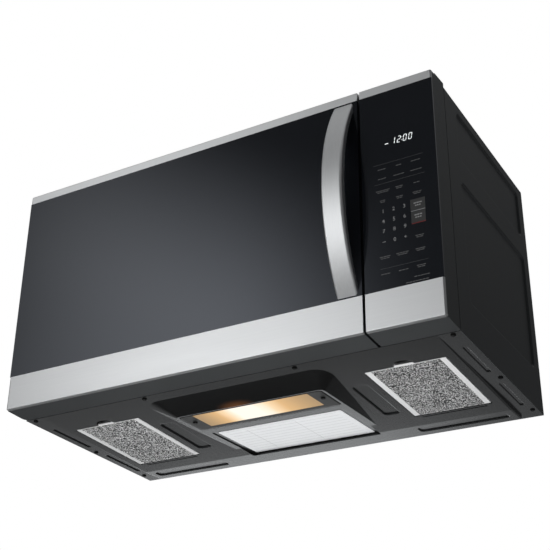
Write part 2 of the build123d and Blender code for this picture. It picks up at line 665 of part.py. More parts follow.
def hinge_pins():
    axis_x, axis_y = hinge_axis()
    return Compound([upright(axis_x, axis_y, HINGE_PIN_RADIUS, hinge_pin_span(i)) for i in range(2)])


# ---------------------------------------------------------------- control panel
def panel_frame():
    """Panel moulding, open at the back, on four bosses that stand on the cavity flange."""
    frame = front_moulding((PANEL_LEFT, PANEL_RIGHT))
    y = (DOOR_REAR_Y - DOOR_BACK_WALL, LINER_FRONT_Y)
    frame -= block(panel_cutout_x(), (y[0] - 1, y[1] + 1), PANEL_CUTOUT_Z)
    for x in (PANEL_LEFT + PANEL_BOSS_INSET, PANEL_RIGHT - PANEL_BOSS_INSET):
        for z in (PANEL_CUTOUT_Z[0] - PANEL_BOSS_INSET, PANEL_CUTOUT_Z[1] + PANEL_BOSS_INSET):
            frame += lengthwise(x, y, z, PANEL_BOSS_RADIUS)
    return frame


def panel_cutout_x():
    return PANEL_LEFT + PANEL_CUTOUT_SIDE, PANEL_RIGHT - PANEL_CUTOUT_SIDE


def control_board():
    """Circuit board behind the touch glass with its relays and connectors."""
    x = (PANEL_LEFT + 3 * MOULDING_WALL, PANEL_RIGHT - 3 * MOULDING_WALL)
    y = FRONT_Y + FRONT_LAYER + BOARD_SETBACK
    z = (BOARD_Z_INSETS[0], DOOR_FACE_HEIGHT - BOARD_Z_INSETS[1])
    back = y + BOARD_SHEET
    board = block(x, (y, back), z)
    for count, x_left, (width, depth, height), pitch in RELAYS_AND_PLUGS:
        for index in range(count):
            foot = z[0] + height + pitch * index
            left = x[0] + x_left
            board += block((left, left + width), (back, back + depth), (foot, foot + height))
    for post_x in (x[0] + POST_INSET, x[1] - POST_INSET):
        for post_z in (z[0] + POST_INSET, z[1] - POST_INSET):
            board += lengthwise(post_x, (FRONT_Y + FRONT_LAYER, y), post_z, POST_RADIUS)
    return board


def display_module():
    """Clock display on the board, just behind the glass."""
    y = FRONT_Y + FRONT_LAYER
    width, height = DISPLAY
    x = PANEL_LEFT + DISPLAY_INSET
    z = DOOR_FACE_HEIGHT - DISPLAY_DROP
    return block((x, x + width), (y, y + BOARD_SETBACK), (z - height, z))


# ---------------------------------------------------------------- outer case, back and top
def case_side_outline(inset, below=0):
    """Side outline of the case; the lower edge follows the flange's slope."""
    return outline(
        (CASE_FRONT_Y, flange_z(DOOR_DEPTH + CASE_DOOR_GAP) - below),
        (CASE_FRONT_Y, CASE_TOP_Z - inset),
        (REAR_INNER_Y, CASE_TOP_Z - inset),
        (REAR_INNER_Y, flange_z(BODY_DEPTH - REAR_SHEET) - below),
    )


def sunk_panel(z, depth, grow):
    """Tapered tool for a sunk side panel, its face on the case's outer plane."""
    front, rear = FRONT_Y + SIDE_PANEL_FRONT, -SIDE_PANEL_REAR_GAP
    length = rear - front + 2 * grow
    height = z[1] - z[0] + 2 * grow
    middle = ((front + rear) / 2, (z[0] + z[1]) / 2)
    sketch = Pos(*middle) * RectangleRounded(length, height, SIDE_PANEL_CORNER + grow)
    return extrude(Plane.YZ.offset(HALF_WIDTH) * sketch, amount=-depth, taper=SIDE_PANEL_DRAFT)


def side_panel_rims(wrap):
    """Outer edges of the sunk panels in both sides."""
    rims = []
    for edge in wrap.edges():
        spot = edge.center()
        outside = abs(abs(spot.X) - HALF_WIDTH) < FIT_GAP
        along = FRONT_Y + SIDE_PANEL_FRONT - FIT_GAP < spot.Y < -SIDE_PANEL_REAR_GAP + FIT_GAP
        heights = [low - FIT_GAP < spot.Z < high + FIT_GAP for low, high in (UPPER_PANEL_Z, LOWER_PANEL_Z)]
        if outside and along and any(heights):
            rims.append(edge)
    return rims


def outer_case():
    """Wrap of painted sheet over the top and both sides, with sunk panels in each side."""
    wrap = side_prism(case_side_outline(0), (-HALF_WIDTH, HALF_WIDTH))
    wrap = fillet(long_top_edges(wrap, CASE_TOP_Z), CASE_CORNER_RADIUS)
    room = side_prism(case_side_outline(CASE_SHEET, SIDE_PANEL_SINK), (-CASE_INNER_X, CASE_INNER_X))
    room = fillet(long_top_edges(room, CASE_TOP_Z - CASE_SHEET), CASE_CORNER_RADIUS - CASE_SHEET)
    wrap -= room
    for z in (UPPER_PANEL_Z, LOWER_PANEL_Z):
        for mirrored in (False, True):
            bulge = sunk_panel(z, SIDE_PANEL_SINK + CASE_SHEET, CASE_SHEET)
            dent = sunk_panel(z, SIDE_PANEL_SINK, 0)
            if mirrored:
                bulge = mirror(bulge, Plane.YZ)
                dent = mirror(dent, Plane.YZ)
            wrap = wrap + bulge - dent
    wrap = fillet(side_panel_rims(wrap), SIDE_PANEL_EDGE_RADIUS)
    wrap += side_folds()
    grille_x = (-GRILLE_HALF_WIDTH, GRILLE_HALF_WIDTH)
    grille_y = (CASE_FRONT_Y - 1, FRONT_Y + GRILLE_SETBACK[1])
    wrap -= block(grille_x, grille_y, (CASE_TOP_Z - 2 * CASE_SHEET, CASE_TOP_Z + 1))
    wrap -= outlet_window(CASE_TOP_Z - 2, CASE_TOP_Z + 1)
    wrap -= upright(*CORD_PLACE, CORD_HOLE_RADIUS, (CASE_TOP_Z - 2, CASE_TOP_Z + 1))
    for x in (-BOLT_SPACING / 2, BOLT_SPACING / 2):
        wrap -= upright(x, FRONT_Y + BOLT_SETBACK, BOLT_HOLE_RADIUS, (CASE_TOP_Z - 2, CASE_TOP_Z + 1))
    return wrap - screw_holes()


def long_top_edges(shape, z):
    return shape.edges().filter_by(Axis.Y).filter_by_position(Axis.Z, z - PICK_BAND, z + PICK_BAND)


def side_folds():
    """Inward folds along the lower edges of the sides, above the pan's flanges."""
    folds = []
    for side in (-1, 1):
        x = sorted((side * (CASE_INNER_X - CASE_FOLD_WIDTH), side * CASE_INNER_X))
        rise = PAN_SHEET + SHEET_GAP
        low = LINER_FRONT_Y + LINER_FOLD + 1 - FRONT_Y
        high = REAR_INNER_Y - PAN_SHEET - SHEET_GAP - FRONT_Y
        face = outline(
            (FRONT_Y + low, flange_z(low) + rise),
            (FRONT_Y + low, flange_z(low) + rise + CASE_SHEET),
            (FRONT_Y + high, flange_z(high) + rise + CASE_SHEET),
            (FRONT_Y + high, flange_z(high) + rise),
        )
        folds.append(side_prism(face, x))
    return folds


def outlet_window(low, high):
    """Opening for the duct in the top, over the blower."""
    width, depth = OUTLET_OPENING
    return block((-width / 2, width / 2), (SHAFT_Y - depth / 2, SHAFT_Y + depth / 2), (low, high))


def outlet_cover():
    """Plate that closes the duct opening while the air leaves through the grille."""
    z = CASE_TOP_Z - CASE_SHEET
    cover = None
    for grow, limits in ((OUTLET_COVER_LAP, (z - CASE_SHEET, z)), (-FIT_GAP, (z, CASE_TOP_Z))):
        half_width = OUTLET_OPENING[0] / 2 + grow
        half_depth = OUTLET_OPENING[1] / 2 + grow
        layer = block((-half_width, half_width), (SHAFT_Y - half_depth, SHAFT_Y + half_depth), limits)
        cover = cover + layer if cover else layer
    return cover


def top_grille():
    """Slotted plastic grille in the front of the top, above the door."""
    x = (-GRILLE_HALF_WIDTH + FIT_GAP, GRILLE_HALF_WIDTH - FIT_GAP)
    y = (FRONT_Y + GRILLE_SETBACK[0], FRONT_Y + GRILLE_SETBACK[1] - FIT_GAP)
    tray = block(x, y, (CASE_TOP_Z - GRILLE_DEPTH, CASE_TOP_Z))
    wall = GRILLE_WALL
    inner_z = (CASE_TOP_Z - GRILLE_DEPTH - 1, CASE_TOP_Z - wall)
    tray -= block((x[0] + wall, x[1] - wall), (y[0] + wall, y[1] - wall), inner_z)
    pitch = (x[1] - x[0]) / GRILLE_SLOTS
    for index in range(GRILLE_SLOTS):
        centre = x[0] + pitch * (index + 0.5)
        slot_x = (centre - (pitch - GRILLE_BAR) / 2, centre + (pitch - GRILLE_BAR) / 2)
        for row in range(GRILLE_ROWS):
            slot_y = y[0] + GRILLE_ROW_PITCH * (row + 1)
            span = (slot_y - GRILLE_SLOT_DEPTH / 2, slot_y + GRILLE_SLOT_DEPTH / 2)
            tray -= block(slot_x, span, (CASE_TOP_Z - GRILLE_DEPTH, CASE_TOP_Z + 1))
    return tray


def rear_panel():
    """Back sheet with wall-hook slots, stiffening swages and a pressed duct outline."""
    low = flange_z(BODY_DEPTH)
    sheet = block((-HALF_WIDTH, HALF_WIDTH), (REAR_INNER_Y, 0), (low, CASE_TOP_Z))
    sheet = fillet(sheet.edges().filter_by(Axis.Y).sort_by(Axis.Z)[-2:], CASE_CORNER_RADIUS)
    face = Plane.XZ
    for x in (-HOOK_SLOT_SPACING / 2, HOOK_SLOT_SPACING / 2):
        slot = face * (Pos(x, HOOK_SLOT_Z) * SlotOverall(*HOOK_SLOT))
        sheet -= extrude(slot, amount=2 * REAR_SHEET, both=True)
    for x in (-REAR_SWAGE_X, REAR_SWAGE_X):
        for z in REAR_SWAGE_Z:
            swage = Pos(x, z) * SlotOverall(*REAR_SWAGE)
            sheet -= extrude(face * swage, amount=REAR_SHEET / 2)
            sheet += extrude(face.offset(REAR_SHEET) * swage, amount=REAR_SHEET / 2)
    width, height = OUTLET_OPENING[0], REAR_OUTLET_HEIGHT
    line = 2 * MOULDING_WALL
    outer = Pos(0, SHAFT_Z) * Rectangle(width, height)
    inner = Pos(0, SHAFT_Z) * Rectangle(width - line, height - line)
    return sheet - extrude(face * (outer - inner), amount=REAR_SHEET / 2)


def cord_bushing():
    """Round bushing for the cord, flush with the top and rimmed below the sheet."""
    rim, rim_height = CORD_BUSHING_RIM
    low = CASE_TOP_Z - CORD_BUSHING_LENGTH
    under = CASE_TOP_Z - CASE_SHEET
    body = upright(*CORD_PLACE, CORD_HOLE_RADIUS, (low, CASE_TOP_Z))
    body += upright(*CORD_PLACE, CORD_HOLE_RADIUS + rim, (under - rim_height, under))
    return body - upright(*CORD_PLACE, CORD_BUSHING_BORE, (low - 1, CASE_TOP_Z + 1))


# ---------------------------------------------------------------- base pan
def pan_outline(lift):
    """Side outline of the pan's trough, from its lower face raised by lift up to the rim."""
    front, rear = CASE_FRONT_Y + lift, -PAN_REAR_GAP - lift
    bend = FRONT_Y + PAN_SLOPE_END
    return outline(
        (front, PAN_FRONT_Z - PAN_SLOPE * lift + lift),
        (bend, PAN_LOW_Z + lift),
        (rear, PAN_LOW_Z + lift),
        (rear, flange_z(PAN_REAR_SETBACK) + lift),
        (front, PAN_LIP_Z + lift),
    )


def flange_outline(lift):
    """Side outline of the flat side flanges, open at the top like the trough."""
    clear = 2 * PAN_REAR_RIM_Z if lift else 0
    front, rear = CASE_FRONT_Y + lift, REAR_INNER_Y - lift
    return outline(
        (front, PAN_FRONT_Z - FLANGE_SLOPE * (front - CASE_FRONT_Y) + lift),
        (rear, PAN_FRONT_Z - FLANGE_SLOPE * (rear - CASE_FRONT_Y) + lift),
        (rear, PAN_REAR_RIM_Z + clear),
        (front, PAN_LIP_Z + clear),
    )


def pan_mass(lift):
    """Outer mass of the pan, or with lift the room inside its sheet."""
    trough = side_prism(pan_outline(lift), (-PAN_HALF_WIDTH + lift, PAN_HALF_WIDTH - lift))
    by_side = trough.edges().filter_by(GeomType.LINE).group_by(Axis.X)
    along = [edge for edge in by_side[0] + by_side[-1] if abs(edge.tangent_at(0.5).Z) < 0.5]
    floor_edges = [edge for edge in along if max(v.Z for v in edge.vertices()) < PAN_LIP_Z]
    trough = fillet(floor_edges, PAN_EDGE_RADIUS - lift)
    flange_half = CASE_INNER_X + (1 if lift else 0)
    return trough + side_prism(flange_outline(lift), (-flange_half, flange_half))


def console_form():
    """Tapered form of the lamp console, from its wide root to its flat lower face."""
    length = CONSOLE_REAR - CONSOLE_FRONT
    low = RectangleRounded(2 * CONSOLE_HALF_WIDTH, length, CONSOLE_CORNER)
    low = CONSOLE_PLANE * Pos(0, length / 2) * low
    root_length = length + CONSOLE_FRONT_RUN + CONSOLE_REAR_RUN
    root_centre = FRONT_Y + (CONSOLE_FRONT - CONSOLE_FRONT_RUN + CONSOLE_REAR + CONSOLE_REAR_RUN) / 2
    root = Plane(origin=(0, root_centre, CONSOLE_ROOT_Z)) * RectangleRounded(
        2 * (CONSOLE_HALF_WIDTH + CONSOLE_SIDE_RUN), root_length, CONSOLE_ROOT_CORNER)
    return loft([low, root], ruled=True)


def pan_run(setback):
    """Distance of a setback from the case's front, along the sloping floor."""
    return (FRONT_Y + setback - CASE_FRONT_Y) / cos(atan(PAN_SLOPE))


def on_pan(x, setback, sketch, plane=None):
    """Sketch laid on the pan's lower face, centred at x and a setback."""
    plane = plane or PAN_PLANE
    return plane * Pos(x, pan_run(setback)) * sketch


def level_plane(z):
    return Plane(origin=(0, CASE_FRONT_Y, z))


def mouth(shape, plane, middle, size):
    """Edges round the mouth of a recess that was sunk from a plane."""
    edges = []
    for edge in shape.edges():
        x, y, z = plane.to_local_coords(edge.center())
        beside = max(abs(x - middle[0]) - size[0] / 2, abs(y - middle[1]) - size[1] / 2)
        if beside < FIT_GAP and abs(z) < FIT_GAP:
            edges.append(edge)
    return edges


def press_pad(pan, place, size, corner, plane, depths, inside):
    """Sinks a rounded pad into the sheet: a bump inside, a recess with a soft rim outside."""
    sink, edge_radius = depths
    if inside:
        wide = RectangleRounded(size[0] + 2 * PAD_WALL, size[1] + 2 * PAD_WALL, corner)
        return pan + extrude(on_pan(*place, wide, plane), amount=sink + PAN_SHEET)
    dent = on_pan(*place, RectangleRounded(*size, corner), plane)
    pan -= extrude(dent, amount=sink) + extrude(dent, amount=-PAN_SHEET)
    return fillet(mouth(pan, plane, (place[0], pan_run(place[1])), size), edge_radius)


def pads():
    """Every sunk pad and rib: place, size, corner, the plane it lies on, depth and rim."""
    flat = level_plane(PAN_LOW_Z)
    rib_corner = RIB_WIDTH / 2 - FIT_GAP
    pad_depths = (PAD_SINK, PAD_EDGE_RADIUS)
    for side in (-1, 1):
        side_x = side * (FILTER_CENTRE_X + SIDE_PAD_PLACE[0])
        side_place = (side_x, FILTER_FRONT_SETBACK + SIDE_PAD_PLACE[1])
        yield side_place, SIDE_PAD, PAD_CORNER, PAN_PLANE, pad_depths
        rear_place = (side * (FILTER_CENTRE_X + REAR_PAD_SHIFT), BODY_DEPTH - REAR_PAD_GAP)
        yield rear_place, REAR_PAD, PAD_CORNER, flat, pad_depths
        for setback in RIB_SETBACKS:
            rib_place = (side * (HALF_WIDTH - RIB_INSET), setback)
            rib_depths = (RIB_SINK, RIB_EDGE_RADIUS)
            yield rib_place, (RIB_WIDTH, RIB_LENGTH), rib_corner, FLANGE_PLANE, rib_depths


def on_filter(side, sketch, plane=None):
    """Sketch centred on a filter, on the pan's lower face or a plane offset from it."""
    return on_pan(side * FILTER_CENTRE_X, FILTER_FRONT_SETBACK + FILTER_LENGTH / 2, sketch, plane)


def well_sketch(side, grow):
    room = 2 * (FILTER_CLEARANCE + grow)
    return on_filter(side, Rectangle(FILTER_WIDTH + room, FILTER_LENGTH + room))


def filter_wells(pan):
    """Wells that hold the filters, each with a ledge above and a finger notch in front."""
    depth = FILTER_THICKNESS + FIT_GAP
    for side in (-1, 1):
        notch_place = (side * FILTER_CENTRE_X, FILTER_FRONT_SETBACK - FILTER_CLEARANCE)
        notch = on_pan(*notch_place, Circle(NOTCH_RADIUS + PAN_SHEET))
        pan += extrude(notch, amount=NOTCH_DEPTH + PAN_SHEET)
        pan += extrude(well_sketch(side, PAN_SHEET), amount=depth + PAN_SHEET)
        pan -= extrude(well_sketch(side, -WELL_LEDGE), amount=depth + PAN_SHEET + 1)
        pan -= extrude(well_sketch(side, 0), amount=depth)
        pan -= extrude(well_sketch(side, 0), amount=-1)
        bite = on_pan(*notch_place, Circle(NOTCH_RADIUS))
        pan -= extrude(bite, amount=NOTCH_DEPTH)
        pan -= extrude(bite, amount=-1)
        slit_length = FILTER_WIDTH - 2 * FILTER_CHANNEL
        slit = Rectangle(slit_length, LIP_SLOT_WIDTH)
        slit = on_pan(side * FILTER_CENTRE_X, FILTER_REAR_SETBACK + LIP_SLOT_SPACING, slit)
        pan -= extrude(slit, amount=2 * PAN_SHEET, both=True)
    return pan


def on_console(setback, sketch, plane=None):
    plane = plane or CONSOLE_PLANE
    return plane * Pos(0, FRONT_Y + setback - plane.origin.Y) * sketch


def screw_seats():
    """Where the pan's screws sit: at the front edge, on both flanges and beside the lens."""
    places = [(PAN_PLANE, x, FRONT_SCREW_SETBACK) for x in INNER_SCREW_X]
    lamp_x = (LAMP_PLATE[0] + LENS[0]) / 4
    for side in (-1, 1):
        places.append((FLANGE_PLANE, side * (HALF_WIDTH - FRONT_SCREW_INSET), FRONT_SCREW_SETBACK))
        places.append((CONSOLE_PLANE, side * lamp_x, LENS_CENTRE))
        for setback in SIDE_SCREW_SETBACKS:
            places.append((FLANGE_PLANE, side * (HALF_WIDTH - SIDE_SCREW_INSET), setback))
    return [plane * Pos(x, (FRONT_Y + v - plane.origin.Y) / plane.z_dir.Z) for plane, x, v in places]


def screw_holes():
    reach = 3 * SCREW_HEAD_HEIGHT
    return [seat * Cylinder(PANEL_SCREW_RADIUS, 2 * reach) for seat in screw_seats()]


def base_pan():
    """Formed pan: sloping floor, side flanges, lamp console, wells, pads and ribs."""
    outer, room = pan_mass(0), pan_mass(PAN_SHEET)
    pan = outer - room
    form = console_form()
    pan += form - room
    floor_top = LABEL_PLANE.offset(LABEL_FLOOR)
    reach = -PAN_LOW_Z
    half_space = (Align.CENTER, Align.CENTER, Align.MAX)
    below = floor_top * Box(2 * BODY_WIDTH, 2 * BODY_WIDTH, reach, align=half_space)
    pan -= Pos(0, 0, CONSOLE_WALL) * form - below
    recess = on_console(LABEL_CENTRE, RectangleRounded(*LABEL_RECESS, LABEL_CORNER), LABEL_PLANE)
    wall = 2 * LABEL_WALL
    wide = RectangleRounded(LABEL_RECESS[0] + wall, LABEL_RECESS[1] + wall, LABEL_CORNER + LABEL_WALL)
    shell = on_console(LABEL_CENTRE, wide, LABEL_PLANE)
    well = extrude(shell, amount=LABEL_FLOOR) + extrude(shell, amount=-reach)
    pan += well & (outer + form)
    pan -= extrude(recess, amount=-reach)
    plate = on_console(LAMP_PLATE_CENTRE, RectangleRounded(*LAMP_PLATE, LAMP_PLATE_CORNER))
    pan -= extrude(plate, amount=LAMP_PLATE_SHEET)
    pan -= extrude(plate, amount=-2)
    hole = on_console(LENS_CENTRE, Rectangle(LENS[0] + 2 * (LENS_RIM + 1), LENS[1] + 2))
    pan -= extrude(hole, amount=reach)
    for inside in (True, False):
        for pad in pads():
            pan = press_pad(pan, *pad, inside)
    pan = filter_wells(pan)
    return pan - screw_holes()


def pan_screws():
    """Pan-head screws that hold the pan to the folds above it, and the lamp plate to the pan."""
    head = Cylinder(SCREW_HEAD_RADIUS, SCREW_HEAD_HEIGHT, align=(Align.CENTER, Align.CENTER, Align.MAX))
    head = chamfer(head.faces().sort_by(Axis.Z)[0].edges(), SCREW_HEAD_BEVEL)
    shank_align = (Align.CENTER, Align.CENTER, Align.MIN)
    screw = head + Cylinder(PANEL_SCREW_RADIUS - SHEET_GAP, SCREW_LENGTH, align=shank_align)
    return Compound([seat * screw for seat in screw_seats()])


def lamp_plate():
    """Cover plate with the lens opening, screwed into the console's shallow pocket."""
    size = (LAMP_PLATE[0] - 2 * FIT_GAP, LAMP_PLATE[1] - 2 * FIT_GAP)
    sketch = RectangleRounded(*size, LAMP_PLATE_CORNER - FIT_GAP)
    plate = extrude(on_console(LAMP_PLATE_CENTRE, sketch), amount=LAMP_PLATE_SHEET)
    plate -= extrude(on_console(LENS_CENTRE, Rectangle(*LENS)), amount=3 * LAMP_PLATE_SHEET, both=True)
    return plate - screw_holes()


def lamp_lens():
    """Frosted lens, flush in the plate, with a rim that rests on the plate's back."""
    face = Rectangle(LENS[0] - 2 * FIT_GAP, LENS[1] - 2 * FIT_GAP)
    lens = extrude(on_console(LENS_CENTRE, face), amount=LENS_THICKNESS)
    seat = CONSOLE_PLANE.offset(LAMP_PLATE_SHEET)
    rim = on_console(LENS_CENTRE, Rectangle(LENS[0] + 2 * LENS_RIM, LENS[1]), seat)
    return lens + extrude(rim, amount=LENS_THICKNESS - LAMP_PLATE_SHEET)


def cooktop_lamp():
    """Lamp tray above the lens: reflector box with two lamps on its roof."""
    y = (FRONT_Y + LENS_CENTRE - LENS[1] / 2, FRONT_Y + LENS_CENTRE + LENS[1] / 2)
    x = LENS[0] / 2
    z = (CONSOLE_LOW_Z + LAMP_STAND, CONSOLE_LOW_Z + LAMP_STAND + LAMP_TRAY_HEIGHT)
    tray = block((-x, x), y, z) - block((1 - x, x - 1), (y[0] + 1, y[1] - 1), (z[0] - 1, z[1] - 1))
    for bulb_x in (-x / 2, x / 2):
        tray += upright(bulb_x, FRONT_Y + LENS_CENTRE, LAMP_BULB_RADIUS, (z[1] - LAMP_BULB_HEIGHT, z[1] - 1))
    return tray


# ---------------------------------------------------------------- grease filters
def filter_frame(side):
    """Bent channels along both long edges, tied across rolled ends, with a pull tab in front."""
    mesh_width = FILTER_WIDTH - 2 * FILTER_CHANNEL
    body = extrude(on_filter(side, Rectangle(FILTER_WIDTH, FILTER_LENGTH)), amount=FILTER_THICKNESS)
    body = fillet(body.edges().filter_by(Axis.X).sort_by(Axis.Y)[-2:], FILTER_ROLL_RADIUS)
    window = Rectangle(mesh_width, FILTER_LENGTH - 2 * FILTER_SHEET)
    body -= extrude(on_filter(side, window), amount=3 * FILTER_THICKNESS, both=True)
    channel = Rectangle(FILTER_WIDTH - 2 * FILTER_SHEET, FILTER_LENGTH - 2 * FILTER_SHEET)
    channel = on_filter(side, channel, PAN_PLANE.offset(FILTER_SHEET))
    body -= extrude(channel, amount=FILTER_THICKNESS - 2 * FILTER_SHEET)
    tab_length = FILTER_TAB_REACH + FILTER_SHEET
    tab_centre = FILTER_FRONT_SETBACK + FILTER_SHEET - tab_length / 2
    tab = on_pan(side * FILTER_CENTRE_X, tab_centre, Rectangle(FILTER_TAB_WIDTH, tab_length))
    return body + extrude(tab, amount=FILTER_SHEET)


def filter_mesh(side):
    """Stack of expanded aluminium held in the frame's channels."""
    length = FILTER_LENGTH - 2 * FILTER_SHEET
    wide = Rectangle(FILTER_WIDTH - 2 * FILTER_SHEET, length)
    wide = on_filter(side, wide, PAN_PLANE.offset(FILTER_SHEET))
    face = on_filter(side, Rectangle(FILTER_WIDTH - 2 * FILTER_CHANNEL, length), PAN_PLANE.offset(FIT_GAP))
    stack = extrude(wide, amount=FILTER_THICKNESS - 2 * FILTER_SHEET)
    return stack + extrude(face, amount=FILTER_THICKNESS - 2 * FIT_GAP)


# ---------------------------------------------------------------- oven cavity
def cavity_liner():
    """Enamelled oven box with its front flange, latch slots and lower fold."""
    outer_x = (CAVITY_X[0] - CAVITY_SHEET, CAVITY_X[1] + CAVITY_SHEET)
    outer_z = (CAVITY_Z[0] - CAVITY_SHEET, CAVITY_Z[1] + CAVITY_SHEET)
    box = block(outer_x, (LINER_FRONT_Y, CAVITY_REAR_Y + CAVITY_SHEET), outer_z)
    box = fillet(box.edges().filter_by(Axis.Y), CAVITY_CORNER + CAVITY_SHEET)
    flange_z_span = (FLANGE_LOW_Z, FLANGE_HIGH_Z)
    flange = block((-CASE_INNER_X, CASE_INNER_X), (LINER_FRONT_Y, CAVITY_FRONT_Y), flange_z_span)
    fold_y = (LINER_FRONT_Y, LINER_FRONT_Y + LINER_FOLD)
    fold = block((1 - CASE_INNER_X, CASE_INNER_X - 1), fold_y, (FLANGE_LOW_Z, FLANGE_LOW_Z + CAVITY_SHEET))
    liner = box + flange + fold
    room = block(CAVITY_X, (LINER_FRONT_Y - 1, CAVITY_REAR_Y), CAVITY_Z)
    liner -= fillet(room.edges().filter_by(Axis.Y), CAVITY_CORNER)
    flange_y = (LINER_FRONT_Y - 1, CAVITY_FRONT_Y + SHEET_GAP)
    liner -= block(panel_cutout_x(), flange_y, PANEL_CUTOUT_Z)
    for z in HOOK_Z:
        liner -= block(hook_room_x(), flange_y, hook_room_z(z))
    drive_hole = TURNTABLE_SHAFT_RADIUS + DRIVE_HOLE_ROOM
    liner -= upright(CAVITY_CENTRE_X, CAVITY_CENTRE_Y, drive_hole, (CAVITY_Z[0] - 3, CAVITY_Z[0] + 3))
    liner -= block((CAVITY_X[1] - 1, CAVITY_X[1] + 3), port_y(), PORT_Z)
    return liner - screw_holes()


def hook_room_x():
    return LATCH_X[0] - HOOK_ROOM, LATCH_X[1] + HOOK_ROOM


def hook_room_z(z):
    return z - HOOK_ROOM, z + HOOK_HEIGHT + LATCH_TRAVEL + HOOK_ROOM


def port_y():
    """Limits in y of the port through the cavity's right wall."""
    middle = FRONT_Y + WAVEGUIDE_SETBACK
    return middle - PORT_WIDTH / 2, middle + PORT_WIDTH / 2


def waveguide_cover():
    """Mica sheet clipped over the port inside the cavity."""
    y = (port_y()[0] - MICA_LAP, port_y()[1] + MICA_LAP)
    z = (PORT_Z[0] - MICA_LAP, PORT_Z[1] + MICA_LAP)
    return block((CAVITY_X[1] - MICA_SHEET, CAVITY_X[1]), y, z)


def waveguide():
    """Sheet duct on the cavity's right wall that leads from the magnetron to the port."""
    width, depth, height = WAVEGUIDE
    x = (CAVITY_WALL_X, CAVITY_WALL_X + width)
    y_mid = FRONT_Y + WAVEGUIDE_SETBACK
    y = (y_mid - depth / 2, y_mid + depth / 2)
    z = (waveguide_foot(), waveguide_foot() + height)
    duct = block(x, y, z)
    duct -= block((x[0] + 1, x[1] - 1), (y[0] + 1, y[1] - 1), (z[0] + 1, z[1] - 1))
    duct -= block((x[0] - 1, x[0] + 2), port_y(), PORT_Z)
    return duct - crosswise((x[1] - 2, x[1] + 1), y_mid, magnetron_z(), ANTENNA_RADIUS + 2)


def waveguide_foot():
    return PORT_Z[0] - PORT_FOOT_GAP


def magnetron_z():
    return waveguide_foot() + WAVEGUIDE[2] - MAGNETRON_HEAD_GAP


def magnetron():
    """Magnetron: finned body in its yoke, with the antenna dome in the wave guide."""
    x0 = CAVITY_WALL_X + WAVEGUIDE[0]
    y, z = FRONT_Y + WAVEGUIDE_SETBACK, magnetron_z()
    length, depth, height = MAGNETRON
    inner_z = (z - height / 2 + MAGNETRON_YOKE, z + height / 2 - MAGNETRON_YOKE)
    yoke = block((x0, x0 + length), (y - depth / 2, y + depth / 2), (z - height / 2, z + height / 2))
    yoke -= block((x0 + MAGNETRON_YOKE, x0 + length - MAGNETRON_YOKE), (y - depth, y + depth), inner_z)
    yoke += crosswise((x0, x0 + length), y, z, MAGNETRON_BODY_RADIUS)
    pitch = length / (MAGNETRON_FINS + 1)
    half_fin = MAGNETRON_FIN / 2
    for index in range(MAGNETRON_FINS):
        x = x0 + pitch * (index + 1)
        yoke += block((x - half_fin, x + half_fin), (y - depth / 2 + 2, y + depth / 2 - 2), inner_z)
    return yoke + crosswise((x0 - WAVEGUIDE[0] + ANTENNA_GAP, x0), y, z, ANTENNA_RADIUS)


def turntable_motor():
    """Flat geared motor under the cavity floor."""
    radius, height = TURNTABLE_MOTOR
    top = CAVITY_Z[0] - CAVITY_SHEET
    motor = upright(CAVITY_CENTRE_X, CAVITY_CENTRE_Y, radius, (top - height, top))
    ear_reach = radius + MOTOR_EAR[0]
    ear_y = (CAVITY_CENTRE_Y - MOTOR_EAR[1] / 2, CAVITY_CENTRE_Y + MOTOR_EAR[1] / 2)
    motor += block((CAVITY_CENTRE_X - ear_reach, CAVITY_CENTRE_X + ear_reach), ear_y, (top - 1, top))
    bore = TURNTABLE_SHAFT_RADIUS + RUNNING_CLEARANCE
    return motor - upright(CAVITY_CENTRE_X, CAVITY_CENTRE_Y, bore, (top - height + MOTOR_BASE, top + 1))


def turntable_coupler():
    """Three-lobed drive hub on the motor's shaft."""
    top = CAVITY_Z[0] - CAVITY_SHEET
    hub = upright(CAVITY_CENTRE_X, CAVITY_CENTRE_Y, COUPLER_HUB_RADIUS, (CAVITY_Z[0] + 1, TRAY_Z))
    width, height = COUPLER_LOBE
    for index in range(COUPLER_LOBES):
        lobe = Pos(COUPLER_RADIUS / 2, 0, 0) * Box(COUPLER_RADIUS, width, height)
        lobe = Rot(0, 0, 360 / COUPLER_LOBES * index + COUPLER_TURN) * lobe
        hub += Pos(CAVITY_CENTRE_X, CAVITY_CENTRE_Y, TRAY_Z - height / 2) * lobe
    low = top - TURNTABLE_MOTOR[1] + MOTOR_BASE + 1
    return hub + upright(CAVITY_CENTRE_X, CAVITY_CENTRE_Y, TURNTABLE_SHAFT_RADIUS, (low, CAVITY_Z[0] + 1))


def turntable_tray():
    """Glass tray with a raised rim, turned about its own axis."""
    profile = outline(
        (0, TRAY_Z),
        (TRAY_RADIUS - TRAY_RIM_RUN, TRAY_Z),
        (TRAY_RADIUS, TRAY_Z + TRAY_RIM_HEIGHT - TRAY_RIM_EDGE),
        (TRAY_RADIUS, TRAY_Z + TRAY_RIM_HEIGHT),
        (TRAY_RADIUS - TRAY_RIM_EDGE, TRAY_Z + TRAY_RIM_HEIGHT),
        (TRAY_RADIUS - TRAY_RIM_RUN - 1, TRAY_Z + TRAY_GLASS),
        (0, TRAY_Z + TRAY_GLASS),
    )
    return Pos(CAVITY_CENTRE_X, CAVITY_CENTRE_Y, 0) * revolve(Plane.XZ * profile, Axis.Z)


def roller_z():
    return CAVITY_Z[0] + FIT_GAP + ROLLER_RADIUS


